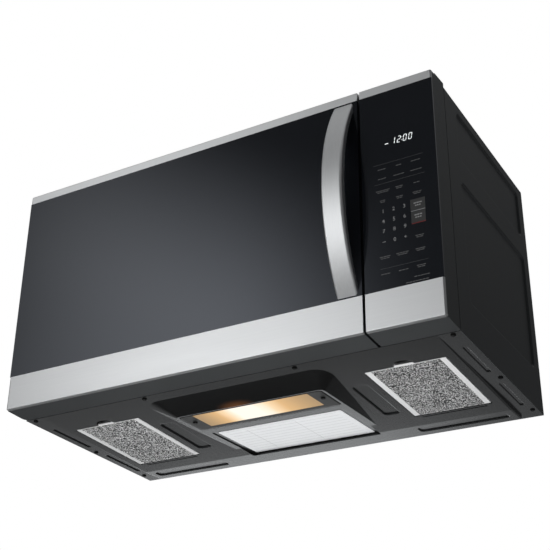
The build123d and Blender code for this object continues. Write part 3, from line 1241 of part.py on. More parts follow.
def roller_ring():
    """Ring under the tray that carries three rollers on short axles."""
    z = roller_z()
    half_wall, half_height = RING_SECTION[0] / 2, RING_SECTION[1] / 2
    ring = upright(0, 0, ROLLER_RING_RADIUS + half_wall, (z - half_height, z + half_height))
    ring -= upright(0, 0, ROLLER_RING_RADIUS - half_wall, (z - half_height - 1, z + half_height + 1))
    for index in range(ROLLER_COUNT):
        axle_x = (ROLLER_RING_RADIUS + 1, ROLLER_CIRCLE + ROLLER_WIDTH / 2 + AXLE_OVERHANG)
        axle = crosswise(axle_x, 0, z, ROLLER_AXLE_RADIUS)
        ring += Rot(0, 0, 360 / ROLLER_COUNT * index) * axle
    return Pos(CAVITY_CENTRE_X, CAVITY_CENTRE_Y, 0) * ring


def roller(index):
    z = roller_z()
    x = (ROLLER_CIRCLE - ROLLER_WIDTH / 2, ROLLER_CIRCLE + ROLLER_WIDTH / 2)
    wheel = crosswise(x, 0, z, ROLLER_RADIUS)
    wheel -= crosswise((x[0] - 1, x[1] + 1), 0, z, ROLLER_AXLE_RADIUS + RUNNING_CLEARANCE)
    return Pos(CAVITY_CENTRE_X, CAVITY_CENTRE_Y, 0) * Rot(0, 0, 360 / ROLLER_COUNT * index) * wheel


def cavity_lamp():
    """Lamp housing on the outside of the cavity's right wall, near the top."""
    width, depth, height = OVEN_LAMP
    x = (CAVITY_WALL_X, CAVITY_WALL_X + width)
    y = FRONT_Y + OVEN_LAMP_SETBACK
    z = CAVITY_Z[1] - OVEN_LAMP_DROP
    return block(x, (y - depth / 2, y + depth / 2), (z - height, z))


# ---------------------------------------------------------------- electronics compartment
def component_tray():
    """Bracketed sheet floor for the power parts, hung on the cavity's right wall."""
    x = (CAVITY_WALL_X, HALF_WIDTH - TRAY_INSET)
    y = (FRONT_Y + TRAY_SETBACK, REAR_INNER_Y - MOULDING_WALL)
    floor = block(x, y, (TRAY_FLOOR_Z, TRAY_FLOOR_Z + TRAY_SHEET))
    lip_y = (y[0], CAVITY_REAR_Y)
    lip = block((x[0], x[0] + TRAY_SHEET), lip_y, (TRAY_FLOOR_Z, TRAY_FLOOR_Z + TRAY_LIP_HEIGHT))
    wall = block((x[1] - TRAY_SHEET, x[1]), y, (TRAY_FLOOR_Z, TRAY_FLOOR_Z + TRAY_WALL_HEIGHT))
    return floor + lip + wall


def transformer_place():
    return HALF_WIDTH - POWER_INSET, FRONT_Y + TRANSFORMER_SETBACK, TRAY_FLOOR_Z + TRAY_SHEET


def coil_feet(foot, height):
    """Lower limits of the two coils in a core that stands at foot."""
    return foot + CORE_LEG, foot + height / 2 + COIL_SPACING


def hv_transformer():
    """Laminated core with its two windings' window."""
    x, y, z = transformer_place()
    length, depth, height = TRANSFORMER
    half_core = depth / 2 - CORE_LEG
    half_window = length / 2 - CORE_LEG
    core = block((x - length / 2, x + length / 2), (y - half_core, y + half_core), (z, z + height))
    for low in coil_feet(z, height):
        core -= block((x - half_window, x + half_window), (y - depth, y + depth), (low, low + COIL_HEIGHT))
    return core


def transformer_windings():
    x, y, z = transformer_place()
    length, depth, height = TRANSFORMER
    half = length / 2 - CORE_LEG - FIT_GAP
    coils = []
    for low in coil_feet(z, height):
        coil_z = (low + FIT_GAP, low + COIL_HEIGHT - FIT_GAP)
        coil = block((x - half, x + half), (y - depth / 2, y + depth / 2), coil_z)
        coils.append(chamfer(coil.edges().filter_by(Axis.Z), CORE_LEG / 2))
    return Compound(coils)


def hv_capacitor():
    """Oval can lying on the tray behind the transformer."""
    length, depth, height = CAPACITOR
    x, y = HALF_WIDTH - POWER_INSET, FRONT_Y + CAPACITOR_SETBACK
    foot = TRAY_FLOOR_Z + TRAY_SHEET
    can = extrude(Pos(x, y, foot) * SlotOverall(length, depth), amount=height)
    width, tab_depth, tab_height = CAPACITOR_TAB
    for tab_x in (x - length / 4, x + length / 4):
        tab = Pos(tab_x, y, foot + height) * Box(width, tab_depth, 2 * tab_height)
        can += tab
    return can


def fan_y():
    rear = REAR_INNER_Y - FAN_WALL_GAP
    return rear - FAN_SHROUD[1], rear


def cooling_fan_shroud():
    """Square shroud on the cabinet's back that carries the fan's motor on four arms."""
    x, z = FAN_CENTRE
    size = FAN_SHROUD[0]
    y = fan_y()
    shroud = block((x - size / 2, x + size / 2), (y[0], REAR_INNER_Y), (z - size / 2, z + size / 2))
    shroud -= lengthwise(x, (y[0] - 1, REAR_INNER_Y + 1), z, FAN_RADIUS + FAN_TIP_GAP)
    for angle in FAN_ARM_ANGLES:
        arm = Rot(0, angle, 0) * Box(2 * (FAN_RADIUS + FAN_TIP_GAP + 1), *FAN_ARM)
        shroud += Pos(x, y[1] + 2, z) * arm
    motor = lengthwise(x, (y[1] - FAN_WALL_GAP, REAR_INNER_Y - 2), z, FAN_MOTOR_RADIUS)
    return shroud + motor - lengthwise(x, (y[0], y[1] - 2), z, FAN_SPINDLE_RADIUS + RUNNING_CLEARANCE)


def cooling_fan_blade():
    """Five-bladed fan wheel on the motor's spindle."""
    x, z = FAN_CENTRE
    y = fan_y()
    hub_rear = y[1] - FAN_WALL_GAP - 1
    hub = lengthwise(0, (y[0] + 2, hub_rear), 0, FAN_HUB_RADIUS)
    hub += lengthwise(0, (hub_rear, y[1] - 3), 0, FAN_SPINDLE_RADIUS)
    span = FAN_RADIUS - FAN_HUB_RADIUS
    middle = (FAN_HUB_RADIUS + span / 2 - 2, (y[0] + hub_rear) / 2, 0)
    for index in range(FAN_BLADES):
        blade = Pos(*middle) * Rot(FAN_PITCH_ANGLE, 0, 0) * Box(span, *FAN_BLADE)
        hub += Rot(0, 360 / FAN_BLADES * index, 0) * blade
    keep = lengthwise(0, (y[0], y[1]), 0, FAN_RADIUS)
    return Pos(x, 0, z) * (hub & keep)


def latch_board():
    """Plastic bracket behind the flange with a pocket for each hook and seats for the switches."""
    x = (LATCH_X[0] - LATCH_BOARD_SIDE, LATCH_X[1] + LATCH_BOARD_SIDE)
    y = (CAVITY_FRONT_Y, CAVITY_FRONT_Y + LATCH_BOARD_DEPTH)
    board = block(x, y, (HOOK_Z[0] - LATCH_BOARD_END, HOOK_Z[1] + HOOK_HEIGHT + LATCH_BOARD_END))
    for z in HOOK_Z:
        board -= block(hook_room_x(), (y[0] - 1, switch_y() - 1), hook_room_z(z))
    for seat_x, z in switch_places():
        seat = block((seat_x, x[1] + 1), (switch_y(), switch_y() + SWITCH[1]), (z, z + SWITCH[2]))
        board -= seat
        middle = (seat_x + SWITCH[0] / 2, z + SWITCH[2] / 2)
        bore_y = (switch_y() - PLUNGER_REACH, switch_y() + 1)
        board -= lengthwise(middle[0], bore_y, middle[1], PLUNGER_RADIUS + 1)
    return board


def switch_y():
    """Front face of the switches, just behind the tips of the hooks."""
    return DOOR_REAR_Y + HOOK_REACH + FIT_GAP + PLUNGER_REACH


def switch_places():
    """Left side and foot of each switch: one behind each hook, and a second beside the lower one."""
    x = (LATCH_X[0] + LATCH_X[1] - SWITCH[0]) / 2
    foot = (HOOK_HEIGHT - SWITCH[2]) / 2
    return [(x, HOOK_Z[0] + foot), (x, HOOK_Z[1] + foot), (x + SWITCH[0] + FIT_GAP, HOOK_Z[0] + foot)]


def interlock_switches():
    """Three snap switches, each with a bore for its plunger."""
    switches = []
    for x, z in switch_places():
        body = block((x, x + SWITCH[0]), (switch_y(), switch_y() + SWITCH[1] - FIT_GAP), (z, z + SWITCH[2]))
        middle = (x + SWITCH[0] / 2, z + SWITCH[2] / 2)
        bore_y = (switch_y() - 1, switch_y() + PLUNGER_REACH + PLUNGER_TRAVEL + FIT_GAP)
        bore = lengthwise(middle[0], bore_y, middle[1], PLUNGER_RADIUS + RUNNING_CLEARANCE)
        switches.append(body - bore)
    return Compound(switches)


def switch_plungers():
    """Sprung plungers of the three switches, pressed rearward by the hooks."""
    pins = []
    for x, z in switch_places():
        middle = (x + SWITCH[0] / 2, z + SWITCH[2] / 2)
        y = (switch_y() - PLUNGER_REACH, switch_y() + PLUNGER_REACH)
        pins.append(lengthwise(middle[0], y, middle[1], PLUNGER_RADIUS))
    return Compound(pins)


# ---------------------------------------------------------------- ventilation
def scroll_x(side):
    inner = VENT_MOTOR[1] / 2 + SCROLL_MOTOR_GAP
    return sorted((side * inner, side * (inner + SCROLL_WIDTH)))


def scroll_face(inset):
    """Snail outline: a round drum with a straight outlet leading forward."""
    drum = Pos(SHAFT_Y, SHAFT_Z) * Circle(SCROLL_RADIUS - inset)
    out = SHAFT_Y - SCROLL_OUTLET_REACH - inset
    tongue = SHAFT_Z - SCROLL_TONGUE[1] + inset
    duct = outline(
        (out, tongue),
        (out, SHAFT_Z + SCROLL_RADIUS - inset),
        (SHAFT_Y, SHAFT_Z + SCROLL_RADIUS - inset),
        (SHAFT_Y, SHAFT_Z),
        (SHAFT_Y - SCROLL_TONGUE[0], tongue),
    )
    return drum + duct


def blower_housing(side):
    x = scroll_x(side)
    inside_x = (x[0] + SCROLL_SHEET, x[1] - SCROLL_SHEET)
    shell = side_prism(scroll_face(0), x) - side_prism(scroll_face(SCROLL_SHEET), inside_x)
    through = (x[0] - 1, x[1] + 1)
    shell -= crosswise(through, SHAFT_Y, SHAFT_Z, SCROLL_INLET_RADIUS)
    foot_z = (CAVITY_ROOF_Z, SHAFT_Z - SCROLL_RADIUS + 3)
    foot = block(x, (SHAFT_Y - SCROLL_FOOT / 2, SHAFT_Y + SCROLL_FOOT / 2), foot_z)
    foot -= crosswise(through, SHAFT_Y, SHAFT_Z, SCROLL_RADIUS - SCROLL_SHEET)
    return shell + foot


def vent_motor():
    """Motor between the two scrolls, on a saddle over the cavity roof."""
    radius, length = VENT_MOTOR
    hub_radius, hub_reach = VENT_MOTOR_HUB
    half = length / 2
    can = crosswise((-half, half), SHAFT_Y, SHAFT_Z, radius)
    can = chamfer(can.edges().filter_by(GeomType.CIRCLE), hub_reach)
    can += crosswise((-half - hub_reach, half + hub_reach), SHAFT_Y, SHAFT_Z, hub_radius)
    saddle_y = (SHAFT_Y - VENT_SADDLE / 2, SHAFT_Y + VENT_SADDLE / 2)
    can += block((hub_reach - half, half - hub_reach), saddle_y, (CAVITY_ROOF_Z, SHAFT_Z - radius / 2))
    return can - crosswise((-length, length), SHAFT_Y, SHAFT_Z, VENT_SHAFT_RADIUS + RUNNING_CLEARANCE)


def vent_shaft():
    reach = scroll_x(1)[1] - VENT_SHAFT_END_GAP
    return crosswise((-reach, reach), SHAFT_Y, SHAFT_Z, VENT_SHAFT_RADIUS)


def blower_wheel(side):
    """Squirrel-cage wheel: forward-curved blades between two rings, on a backing disc and hub."""
    x0, x1 = scroll_x(side)
    middle = (x0 + x1) / 2
    mid_radius = WHEEL_RADIUS - WHEEL_RING_WIDTH / 2
    half = WHEEL_WIDTH / 2
    blade = Pos(mid_radius, 0) * Rot(0, 0, BLADE_PITCH_ANGLE) * Rectangle(*BLADE)
    cage = Sketch() + [Rot(0, 0, 360 / WHEEL_BLADES * index) * blade for index in range(WHEEL_BLADES)]
    ring = Circle(WHEEL_RADIUS) - Circle(WHEEL_RADIUS - WHEEL_RING_WIDTH)
    disc = Circle(WHEEL_RADIUS)
    wheel = extrude(Plane.YZ * cage, amount=half, both=True)
    for end in (-1, 1):
        band = Plane.YZ.offset(end * (half - WHEEL_BAND / 2)) * ring
        wheel += extrude(band, amount=WHEEL_BAND / 2, both=True)
    wheel += extrude(Plane.YZ * disc, amount=WHEEL_DISC / 2, both=True)
    wheel += crosswise((-WHEEL_HUB_RADIUS, WHEEL_HUB_RADIUS), 0, 0, WHEEL_HUB_RADIUS)
    wheel -= crosswise((-half, half), 0, 0, VENT_SHAFT_RADIUS)
    return Pos(middle, SHAFT_Y, SHAFT_Z) * wheel


def charcoal_filter():
    """Charcoal filter standing across the air path between the blower and the grille."""
    width, depth, height = CHARCOAL_SIZE
    y = FRONT_Y + CHARCOAL_SETBACK
    return block((-width / 2, width / 2), (y, y + depth), (CAVITY_ROOF_Z, CAVITY_ROOF_Z + height))


# ---------------------------------------------------------------- all pieces by name
def pieces():
    door_x = (DOOR_LEFT, DOOR_RIGHT)
    panel_x = (PANEL_LEFT, PANEL_RIGHT)
    parts = {
        "door_frame": door_frame(),
        "door_glass": door_glass(),
        "door_top_trim": top_trim(door_x, (DOOR_LEFT,)),
        "door_bottom_trim": bottom_trim(door_x, (DOOR_LEFT,)),
        "door_screen": door_screen(),
        "door_inner_pane": door_inner_pane(),
        "choke_cover": choke_cover(),
        "door_handle": handle(),
        "handle_screws": handle_screws(),
        "latch_hooks": latch_hooks(),
        "hinge_brackets": hinge_brackets(),
        "hinge_pins": hinge_pins(),
        "panel_frame": panel_frame(),
        "panel_glass": front_glass(panel_x),
        "panel_top_trim": top_trim(panel_x, (PANEL_RIGHT,)),
        "panel_bottom_trim": bottom_trim(panel_x, (PANEL_RIGHT,)),
        "control_board": control_board(),
        "display_module": display_module(),
        "outer_case": outer_case(),
        "outlet_cover": outlet_cover(),
        "top_grille": top_grille(),
        "rear_panel": rear_panel(),
        "cord_bushing": cord_bushing(),
        "base_pan": base_pan(),
        "pan_screws": pan_screws(),
        "lamp_plate": lamp_plate(),
        "lamp_lens": lamp_lens(),
        "cooktop_lamp": cooktop_lamp(),
        "cavity_liner": cavity_liner(),
        "waveguide_cover": waveguide_cover(),
        "waveguide": waveguide(),
        "magnetron": magnetron(),
        "turntable_motor": turntable_motor(),
        "turntable_coupler": turntable_coupler(),
        "turntable_tray": turntable_tray(),
        "roller_ring": roller_ring(),
        "cavity_lamp": cavity_lamp(),
        "component_tray": component_tray(),
        "hv_transformer": hv_transformer(),
        "transformer_windings": transformer_windings(),
        "hv_capacitor": hv_capacitor(),
        "cooling_fan_shroud": cooling_fan_shroud(),
        "cooling_fan_blade": cooling_fan_blade(),
        "latch_board": latch_board(),
        "interlock_switches": interlock_switches(),
        "switch_plungers": switch_plungers(),
        "vent_motor": vent_motor(),
        "vent_shaft": vent_shaft(),
        "charcoal_filter": charcoal_filter(),
    }
    for name, side in (("left", -1), ("right", 1)):
        parts[name + "_filter_frame"] = filter_frame(side)
        parts[name + "_filter_mesh"] = filter_mesh(side)
        parts[name + "_blower_housing"] = blower_housing(side)
        parts[name + "_blower_wheel"] = blower_wheel(side)
    for index in range(ROLLER_COUNT):
        parts["roller_" + str(index + 1)] = roller(index)
    return parts


os.makedirs("parts", exist_ok=True)
for name, shape in pieces().items():
    export_step(shape, "parts/" + name + ".step")
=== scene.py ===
import math

import bpy
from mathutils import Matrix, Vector


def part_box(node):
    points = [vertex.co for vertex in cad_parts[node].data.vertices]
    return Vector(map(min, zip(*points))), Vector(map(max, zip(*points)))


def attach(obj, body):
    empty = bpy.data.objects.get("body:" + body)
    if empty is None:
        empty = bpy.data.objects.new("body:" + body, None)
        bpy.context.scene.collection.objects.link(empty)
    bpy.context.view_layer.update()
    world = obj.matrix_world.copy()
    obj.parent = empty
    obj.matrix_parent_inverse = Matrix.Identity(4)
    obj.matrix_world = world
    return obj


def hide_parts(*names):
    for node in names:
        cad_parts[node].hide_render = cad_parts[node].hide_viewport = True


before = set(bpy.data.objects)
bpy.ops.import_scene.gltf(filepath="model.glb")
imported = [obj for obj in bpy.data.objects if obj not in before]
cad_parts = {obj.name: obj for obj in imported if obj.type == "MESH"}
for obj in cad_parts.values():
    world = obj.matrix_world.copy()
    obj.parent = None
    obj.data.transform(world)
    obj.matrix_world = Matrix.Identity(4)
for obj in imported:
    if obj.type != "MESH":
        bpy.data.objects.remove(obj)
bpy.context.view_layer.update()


# ---------------------------------------------------------------- oven cavity
# Folded steel box with a front flange, spot welded and coated in light grey enamel. The
# wave guide's port is cut in its right wall, and the air holes near it are drawn by the
# coat's own pattern.
class Level:
    """A number that varies over a surface; Python's signs work on it."""

    def __init__(self, finish, socket):
        self.finish = finish
        self.socket = socket

    def reckon(self, operation, first, second):
        node = self.finish.node("ShaderNodeMath", {"operation": operation}, {0: first, 1: second})
        return Level(self.finish, node.outputs[0])

    def __add__(self, other):
        return self.reckon("ADD", self, other)

    def __sub__(self, other):
        return self.reckon("SUBTRACT", self, other)

    def __rsub__(self, other):
        return self.reckon("SUBTRACT", other, self)

    def __mul__(self, other):
        return self.reckon("MULTIPLY", self, other)

    __radd__ = __add__
    __rmul__ = __mul__

    def __truediv__(self, other):
        return self.reckon("DIVIDE", self, other)

    def __mod__(self, other):
        return self.reckon("FLOORED_MODULO", self, other)

    def __abs__(self):
        return self.reckon("ABSOLUTE", self, 0.0)

    def rise(self, start, end):
        """0 below start, 1 above end and smooth between."""
        sockets = {"Value": self, "From Min": start, "From Max": end}
        node = self.finish.node("ShaderNodeMapRange", {"interpolation_type": "SMOOTHSTEP"}, sockets)
        return Level(self.finish, node.outputs[0])

    def root(self):
        return self.reckon("SQRT", self, 0.0)

    def lesser(self, other):
        return self.reckon("MINIMUM", self, other)

    def greater(self, other):
        return self.reckon("MAXIMUM", self, other)


class Finish:
    """One surface finish: a material whose nodes are added one by one."""

    def __init__(self, name, colour, roughness, metallic=0.0):
        self.material = bpy.data.materials.new(name)
        self.material.use_nodes = True
        self.tree = self.material.node_tree
        self.shader = self.tree.nodes["Principled BSDF"]
        self.place = None
        self.shader.inputs["Metallic"].default_value = metallic
        self.shader.inputs["Roughness"].default_value = roughness
        self.shader.inputs["Base Color"].default_value = (*colour, 1.0)

    def node(self, kind, settings=None, sockets=None):
        made = self.tree.nodes.new(kind)
        for key, value in (settings or {}).items():
            if key == "stops":
                self.set_stops(made.color_ramp, value)
            else:
                setattr(made, key, value)
        for key, value in (sockets or {}).items():
            self.feed(made.inputs[key], value)
        return made

    def set_stops(self, ramp, stops):
        while len(ramp.elements) < len(stops):
            ramp.elements.new(0.5)
        for element, (position, colour) in zip(ramp.elements, stops):
            element.position = position
            element.color = (*colour, 1.0)

    def feed(self, socket, value):
        if isinstance(value, Level):
            value = value.socket
        if isinstance(value, bpy.types.NodeSocket):
            self.tree.links.new(value, socket)
        else:
            socket.default_value = value

    def surface(self, name, value):
        self.feed(self.shader.inputs[name], value)

    def coordinates(self):
        if self.place is None:
            self.place = self.node("ShaderNodeTexCoord").outputs["Object"]
        return self.place

    def axes(self):
        split = self.node("ShaderNodeSeparateXYZ", None, {0: self.coordinates()})
        return [Level(self, output) for output in split.outputs]

    def stretched(self, scale):
        """Object coordinates scaled for a pattern."""
        sockets = {"Vector": self.coordinates(), "Scale": scale}
        return self.node("ShaderNodeMapping", None, sockets).outputs[0]

    def noise(self, scale, detail=3.0, vector=None, roughness=0.5):
        sockets = {"Vector": vector or self.coordinates(), "Scale": scale, "Detail": detail}
        sockets["Roughness"] = roughness
        return Level(self, self.node("ShaderNodeTexNoise", None, sockets).outputs["Fac"])

    def cells(self, scale, vector=None, feature="F1", output="Distance"):
        sockets = {"Vector": vector or self.coordinates(), "Scale": scale}
        node = self.node("ShaderNodeTexVoronoi", {"feature": feature}, sockets)
        return Level(self, node.outputs[output])

    def blend(self, amount, first, second):
        """Colour that goes from first to second as amount goes from 0 to 1."""
        sockets = {0: amount, 6: first, 7: second}
        return self.node("ShaderNodeMix", {"data_type": "RGBA"}, sockets).outputs[2]

    def relief(self, height, distance, strength=1.0):
        sockets = {"Height": height, "Distance": distance, "Strength": strength}
        bump = self.node("ShaderNodeBump", None, sockets)
        self.surface("Normal", bump.outputs[0])

    def dress(self, *nodes):
        for name in nodes:
            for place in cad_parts[name].material_slots:
                place.material = self.material


def tone(value):
    return (value, value, value, 1.0)


enamel = Finish("light_grey_enamel", (0.5, 0.51, 0.53), 0.3)
speckle = enamel.noise(900.0, 4.0).rise(0.35, 0.75)
x, y, z = enamel.axes()
hole_pitch = 0.009
right_wall_x = 0.224
edge = 0.001
off_y = (y % hole_pitch) - hole_pitch / 2
off_z = (z % hole_pitch) - hole_pitch / 2
hole = off_y * off_y + off_z * off_z
on_wall = x.rise(right_wall_x - edge / 2, right_wall_x + edge / 2)
air_holes = (1.0 - hole.rise(0.000004, 0.000007)) * on_wall
for along, start, end in ((y, -0.315, -0.235), (z, 0.185, 0.26)):
    air_holes = air_holes * (along - start).rise(0.0, edge) * (1.0 - (along - end).rise(0.0, edge))
coat = enamel.blend(speckle, (0.44, 0.45, 0.47, 1.0), (0.58, 0.59, 0.61, 1.0))
enamel.surface("Base Color", enamel.blend(air_holes, coat, tone(0.01)))
enamel.surface("Roughness", 0.24 + 0.14 * enamel.noise(60.0))
enamel.relief(enamel.noise(420.0, 2.0) - air_holes, 0.00025, 0.5)
enamel.dress("cavity_liner")

# Mica sheet over the wave guide's port: thin brown flakes pressed into a board.
mica = Finish("mica_board", (0.55, 0.47, 0.36), 0.4)
flakes = mica.cells(260.0, mica.stretched((1.0, 1.0, 1.7)))
flake_colour = mica.blend(flakes.rise(0.1, 0.8), (0.6, 0.52, 0.4, 1.0), (0.36, 0.29, 0.2, 1.0))
mica.surface("Base Color", flake_colour)
mica.surface("Roughness", 0.3 + 0.25 * flakes)
mica.relief(flakes, 0.0001)
mica.dress("waveguide_cover")


# ---------------------------------------------------------------- turntable
# Tempered glass tray that drops onto the three lobes of a moulded nylon hub.
# A nylon ring with three rollers under its rim carries the weight.
tray_glass = Finish("clear_tray_glass", (0.86, 0.93, 0.91), 0.04)
tray_glass.surface("Transmission Weight", 0.92)
tray_glass.surface("IOR", 1.46)
tray_glass.relief(tray_glass.noise(28.0, 1.0), 0.0006, 0.25)
tray_glass.dress("turntable_tray")

nylon = Finish("natural_nylon", (0.78, 0.77, 0.72), 0.45)
mottle = nylon.noise(140.0, 4.0)
nylon.surface("Base Color", nylon.blend(mottle, (0.7, 0.69, 0.63, 1.0), (0.84, 0.83, 0.79, 1.0)))
nylon.surface("Roughness", 0.36 + 0.2 * nylon.noise(700.0))
nylon.surface("Subsurface Weight", 0.12)
nylon.surface("Subsurface Radius", (0.002, 0.0018, 0.0014))
nylon.relief(nylon.noise(1500.0), 0.00005, 0.6)
nylon.dress("turntable_coupler", "roller_ring", "roller_1", "roller_2", "roller_3")
nylon.dress("cavity_lamp", "latch_board", "latch_hooks", "switch_plungers")


# ---------------------------------------------------------------- power parts on their tray
# Zinc-coated sheet brackets and ducts, with a laminated transformer, its enamelled copper
# coils, an oil-filled can and the finned magnetron.
zinc = Finish("galvanised_sheet", (0.5, 0.51, 0.53), 0.4, 1.0)
spangle = zinc.cells(70.0, None, "F1", "Color")
grain = zinc.noise(1400.0, 2.0, zinc.stretched((0.1, 1.0, 1.0)))
frosted = spangle * 0.6 + grain * 0.4
zinc.surface("Base Color", zinc.blend(frosted, (0.4, 0.41, 0.43, 1.0), (0.64, 0.65, 0.67, 1.0)))
zinc.surface("Roughness", 0.32 + 0.22 * spangle)
zinc.relief(grain, 0.00005, 0.5)
zinc.dress("component_tray", "waveguide", "left_blower_housing", "right_blower_housing")
zinc.dress("rear_panel", "hinge_brackets")

laminations = Finish("laminated_core", (0.12, 0.12, 0.13), 0.55, 0.6)
half_sheet = 0.0005
sheets = abs((laminations.axes()[1] % (2 * half_sheet)) - half_sheet) / half_sheet
laminations.surface("Base Color", laminations.blend(sheets, tone(0.05), tone(0.2)))
laminations.relief(sheets, 0.0002, 0.7)
laminations.dress("hv_transformer")

copper = Finish("enamelled_copper_coils", (0.6, 0.3, 0.14), 0.3, 1.0)
half_wire = 0.00055
turns_with_crease_shade = abs((copper.axes()[2] % (2 * half_wire)) - half_wire) / half_wire
# Painted shade: the coils are darkened where the turns meet, in the creases between them; the bump
# rounds each turn.
copper.surface("Base Color", copper.blend(turns_with_crease_shade, (0.66, 0.34, 0.16, 1.0), (0.2, 0.08, 0.03, 1.0)))
copper.relief(1.0 - turns_with_crease_shade, 0.0003, 0.8)
copper.dress("transformer_windings")

drawn_can = Finish("drawn_aluminium", (0.62, 0.63, 0.64), 0.3, 1.0)
draw_lines = drawn_can.noise(900.0, 3.0, drawn_can.stretched((1.0, 1.0, 0.04)))
drawn_can.surface("Base Color", drawn_can.blend(draw_lines, tone(0.5), tone(0.74)))
drawn_can.surface("Roughness", 0.24 + 0.2 * draw_lines)
drawn_can.relief(draw_lines, 0.00006, 0.5)
drawn_can.dress("hv_capacitor", "magnetron")

motor_steel = Finish("plated_motor_steel", (0.32, 0.33, 0.34), 0.35, 0.9)
blotch = motor_steel.noise(45.0, 5.0)
motor_steel.surface("Base Color", motor_steel.blend(blotch, tone(0.24), tone(0.42)))
motor_steel.surface("Roughness", 0.28 + 0.25 * blotch)
motor_steel.relief(motor_steel.noise(600.0), 0.00006, 0.4)
motor_steel.dress("turntable_motor", "vent_motor", "cooktop_lamp")

bright_steel = Finish("turned_steel", (0.62, 0.62, 0.63), 0.25, 1.0)
turned = bright_steel.noise(1500.0, 2.0, bright_steel.stretched((1.0, 0.08, 0.08)))
bright_steel.surface("Roughness", 0.2 + 0.2 * turned)
bright_steel.relief(turned, 0.00004, 0.4)
bright_steel.dress("vent_shaft", "hinge_pins", "handle_screws")

board_green = Finish("solder_masked_board", (0.03, 0.14, 0.06), 0.35)
board_face = -0.3792
tracks = board_green.cells(260.0, None, "DISTANCE_TO_EDGE")
pads = board_green.cells(190.0)
laid = board_green.blend(tracks.rise(0.02, 0.06), (0.05, 0.22, 0.09, 1.0), (0.02, 0.11, 0.05, 1.0))
laid = board_green.blend(pads.rise(0.08, 0.12), (0.6, 0.6, 0.58, 1.0), laid)
on_board = 1.0 - (board_green.axes()[1] - board_face).rise(0.0, 0.0002)
board_green.surface("Base Color", board_green.blend(on_board, tone(0.03), laid))
board_green.relief(tracks.rise(0.02, 0.08), 0.00008, 0.5)
board_green.dress("control_board")


# ---------------------------------------------------------------- vent blower and filters inside
# Moulded black polypropylene: both squirrel-cage wheels, the fan and its shroud, the
# switches, the top grille and the cord's bushing.
moulded = Finish("black_polypropylene", (0.03, 0.03, 0.032), 0.45)
flow = moulded.noise(35.0, 3.0)
moulded.surface("Base Color", moulded.blend(flow, tone(0.022), tone(0.045)))
moulded.surface("Roughness", 0.38 + 0.2 * moulded.noise(1100.0))
moulded.relief(moulded.noise(2200.0, 2.0), 0.00005, 0.7)
moulded.dress("left_blower_wheel", "right_blower_wheel", "cooling_fan_blade", "cooling_fan_shroud")
moulded.dress("interlock_switches", "top_grille", "cord_bushing", "display_module")

carbon = Finish("carbon_granules", (0.02, 0.02, 0.02), 0.7)
granules_with_gap_shade = carbon.cells(420.0)
# Painted shade: the granules are lighter on their tops and darkened in the gaps between them,
# following the bump.
carbon.surface("Base Color", carbon.blend(granules_with_gap_shade, tone(0.05), tone(0.005)))
carbon.relief(1.0 - granules_with_gap_shade, 0.0008, 0.8)
carbon.dress("charcoal_filter")


# ---------------------------------------------------------------- outer case
# Wrap of pressed sheet with two sunk panels in each side, powder coated in a fine
# charcoal texture; the duct plate in its top is the same sheet.
case_coat = Finish("charcoal_powder_coat", (0.022, 0.023, 0.024), 0.42)
peel = case_coat.noise(1300.0, 3.0)
drift = case_coat.noise(7.0, 3.0)
charcoal = case_coat.blend(drift, (0.014, 0.0165, 0.018, 1.0), (0.02, 0.0225, 0.024, 1.0))
case_coat.surface("Base Color", charcoal)
case_coat.surface("Roughness", 0.36 + 0.14 * peel)
case_coat.relief(peel, 0.00006, 0.6)
case_coat.dress("outer_case", "outlet_cover")


# ---------------------------------------------------------------- base pan
# Deep-drawn steel pan in satin charcoal: lamp console in the middle, a well for each
# filter, pads and ribs, held by black pan-head screws. The lens's light on the slope is a
# painted glow, emitted by the coat.
pan_coat = Finish("satin_charcoal_coat", (0.03, 0.03, 0.031), 0.34)
fine = pan_coat.noise(1500.0, 3.0)
wide = pan_coat.noise(9.0, 2.0)
pan_coat.surface("Base Color", pan_coat.blend(wide, tone(0.0055), tone(0.0085)))
pan_coat.surface("Roughness", 0.15 + 0.06 * fine)
pan_coat.surface("Specular IOR Level", 0.54)
pan_coat.surface("Specular Tint", (0.93, 0.97, 1.0, 1.0))
plate_low, plate_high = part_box("lamp_plate")
lamp_x = -0.018
x, y = pan_coat.axes()[:2]
along_lens = 0.5 * (x - lamp_x)
before_plate = y - plate_low[1]
lamp_distance = (along_lens * along_lens + before_plate * before_plate).root()
painted_glow_reach = 0.02
# Painted glow: the coat emits a warm light in front of the lens, in place of the lens's light
# falling on it.
painted_lens_glow = pan_coat.blend(lamp_distance.rise(painted_glow_reach, 0.0), tone(0.0), (0.11, 0.04, 0.01, 1.0))
pan_coat.surface("Emission Color", painted_lens_glow)
pan_coat.surface("Emission Strength", 1.0)
pan_coat.relief(fine, 0.00004, 0.35)
pan_coat.dress("base_pan")

plate_coat = Finish("textured_black_coat", (0.012, 0.012, 0.012), 0.5)
pebble = plate_coat.noise(1800.0, 2.0)
plate_corner = 0.007
x, y = plate_coat.axes()[:2]
half_depth = (plate_high[1] - plate_low[1]) / 2
middle_y = (plate_low[1] + plate_high[1]) / 2
corner_x = (abs(x) - (plate_high[0] - plate_corner)).greater(0.0)
corner_y = (abs(y - middle_y) - (half_depth - plate_corner)).greater(0.0)
off_edge = plate_corner - (corner_x * corner_x + corner_y * corner_y).root()
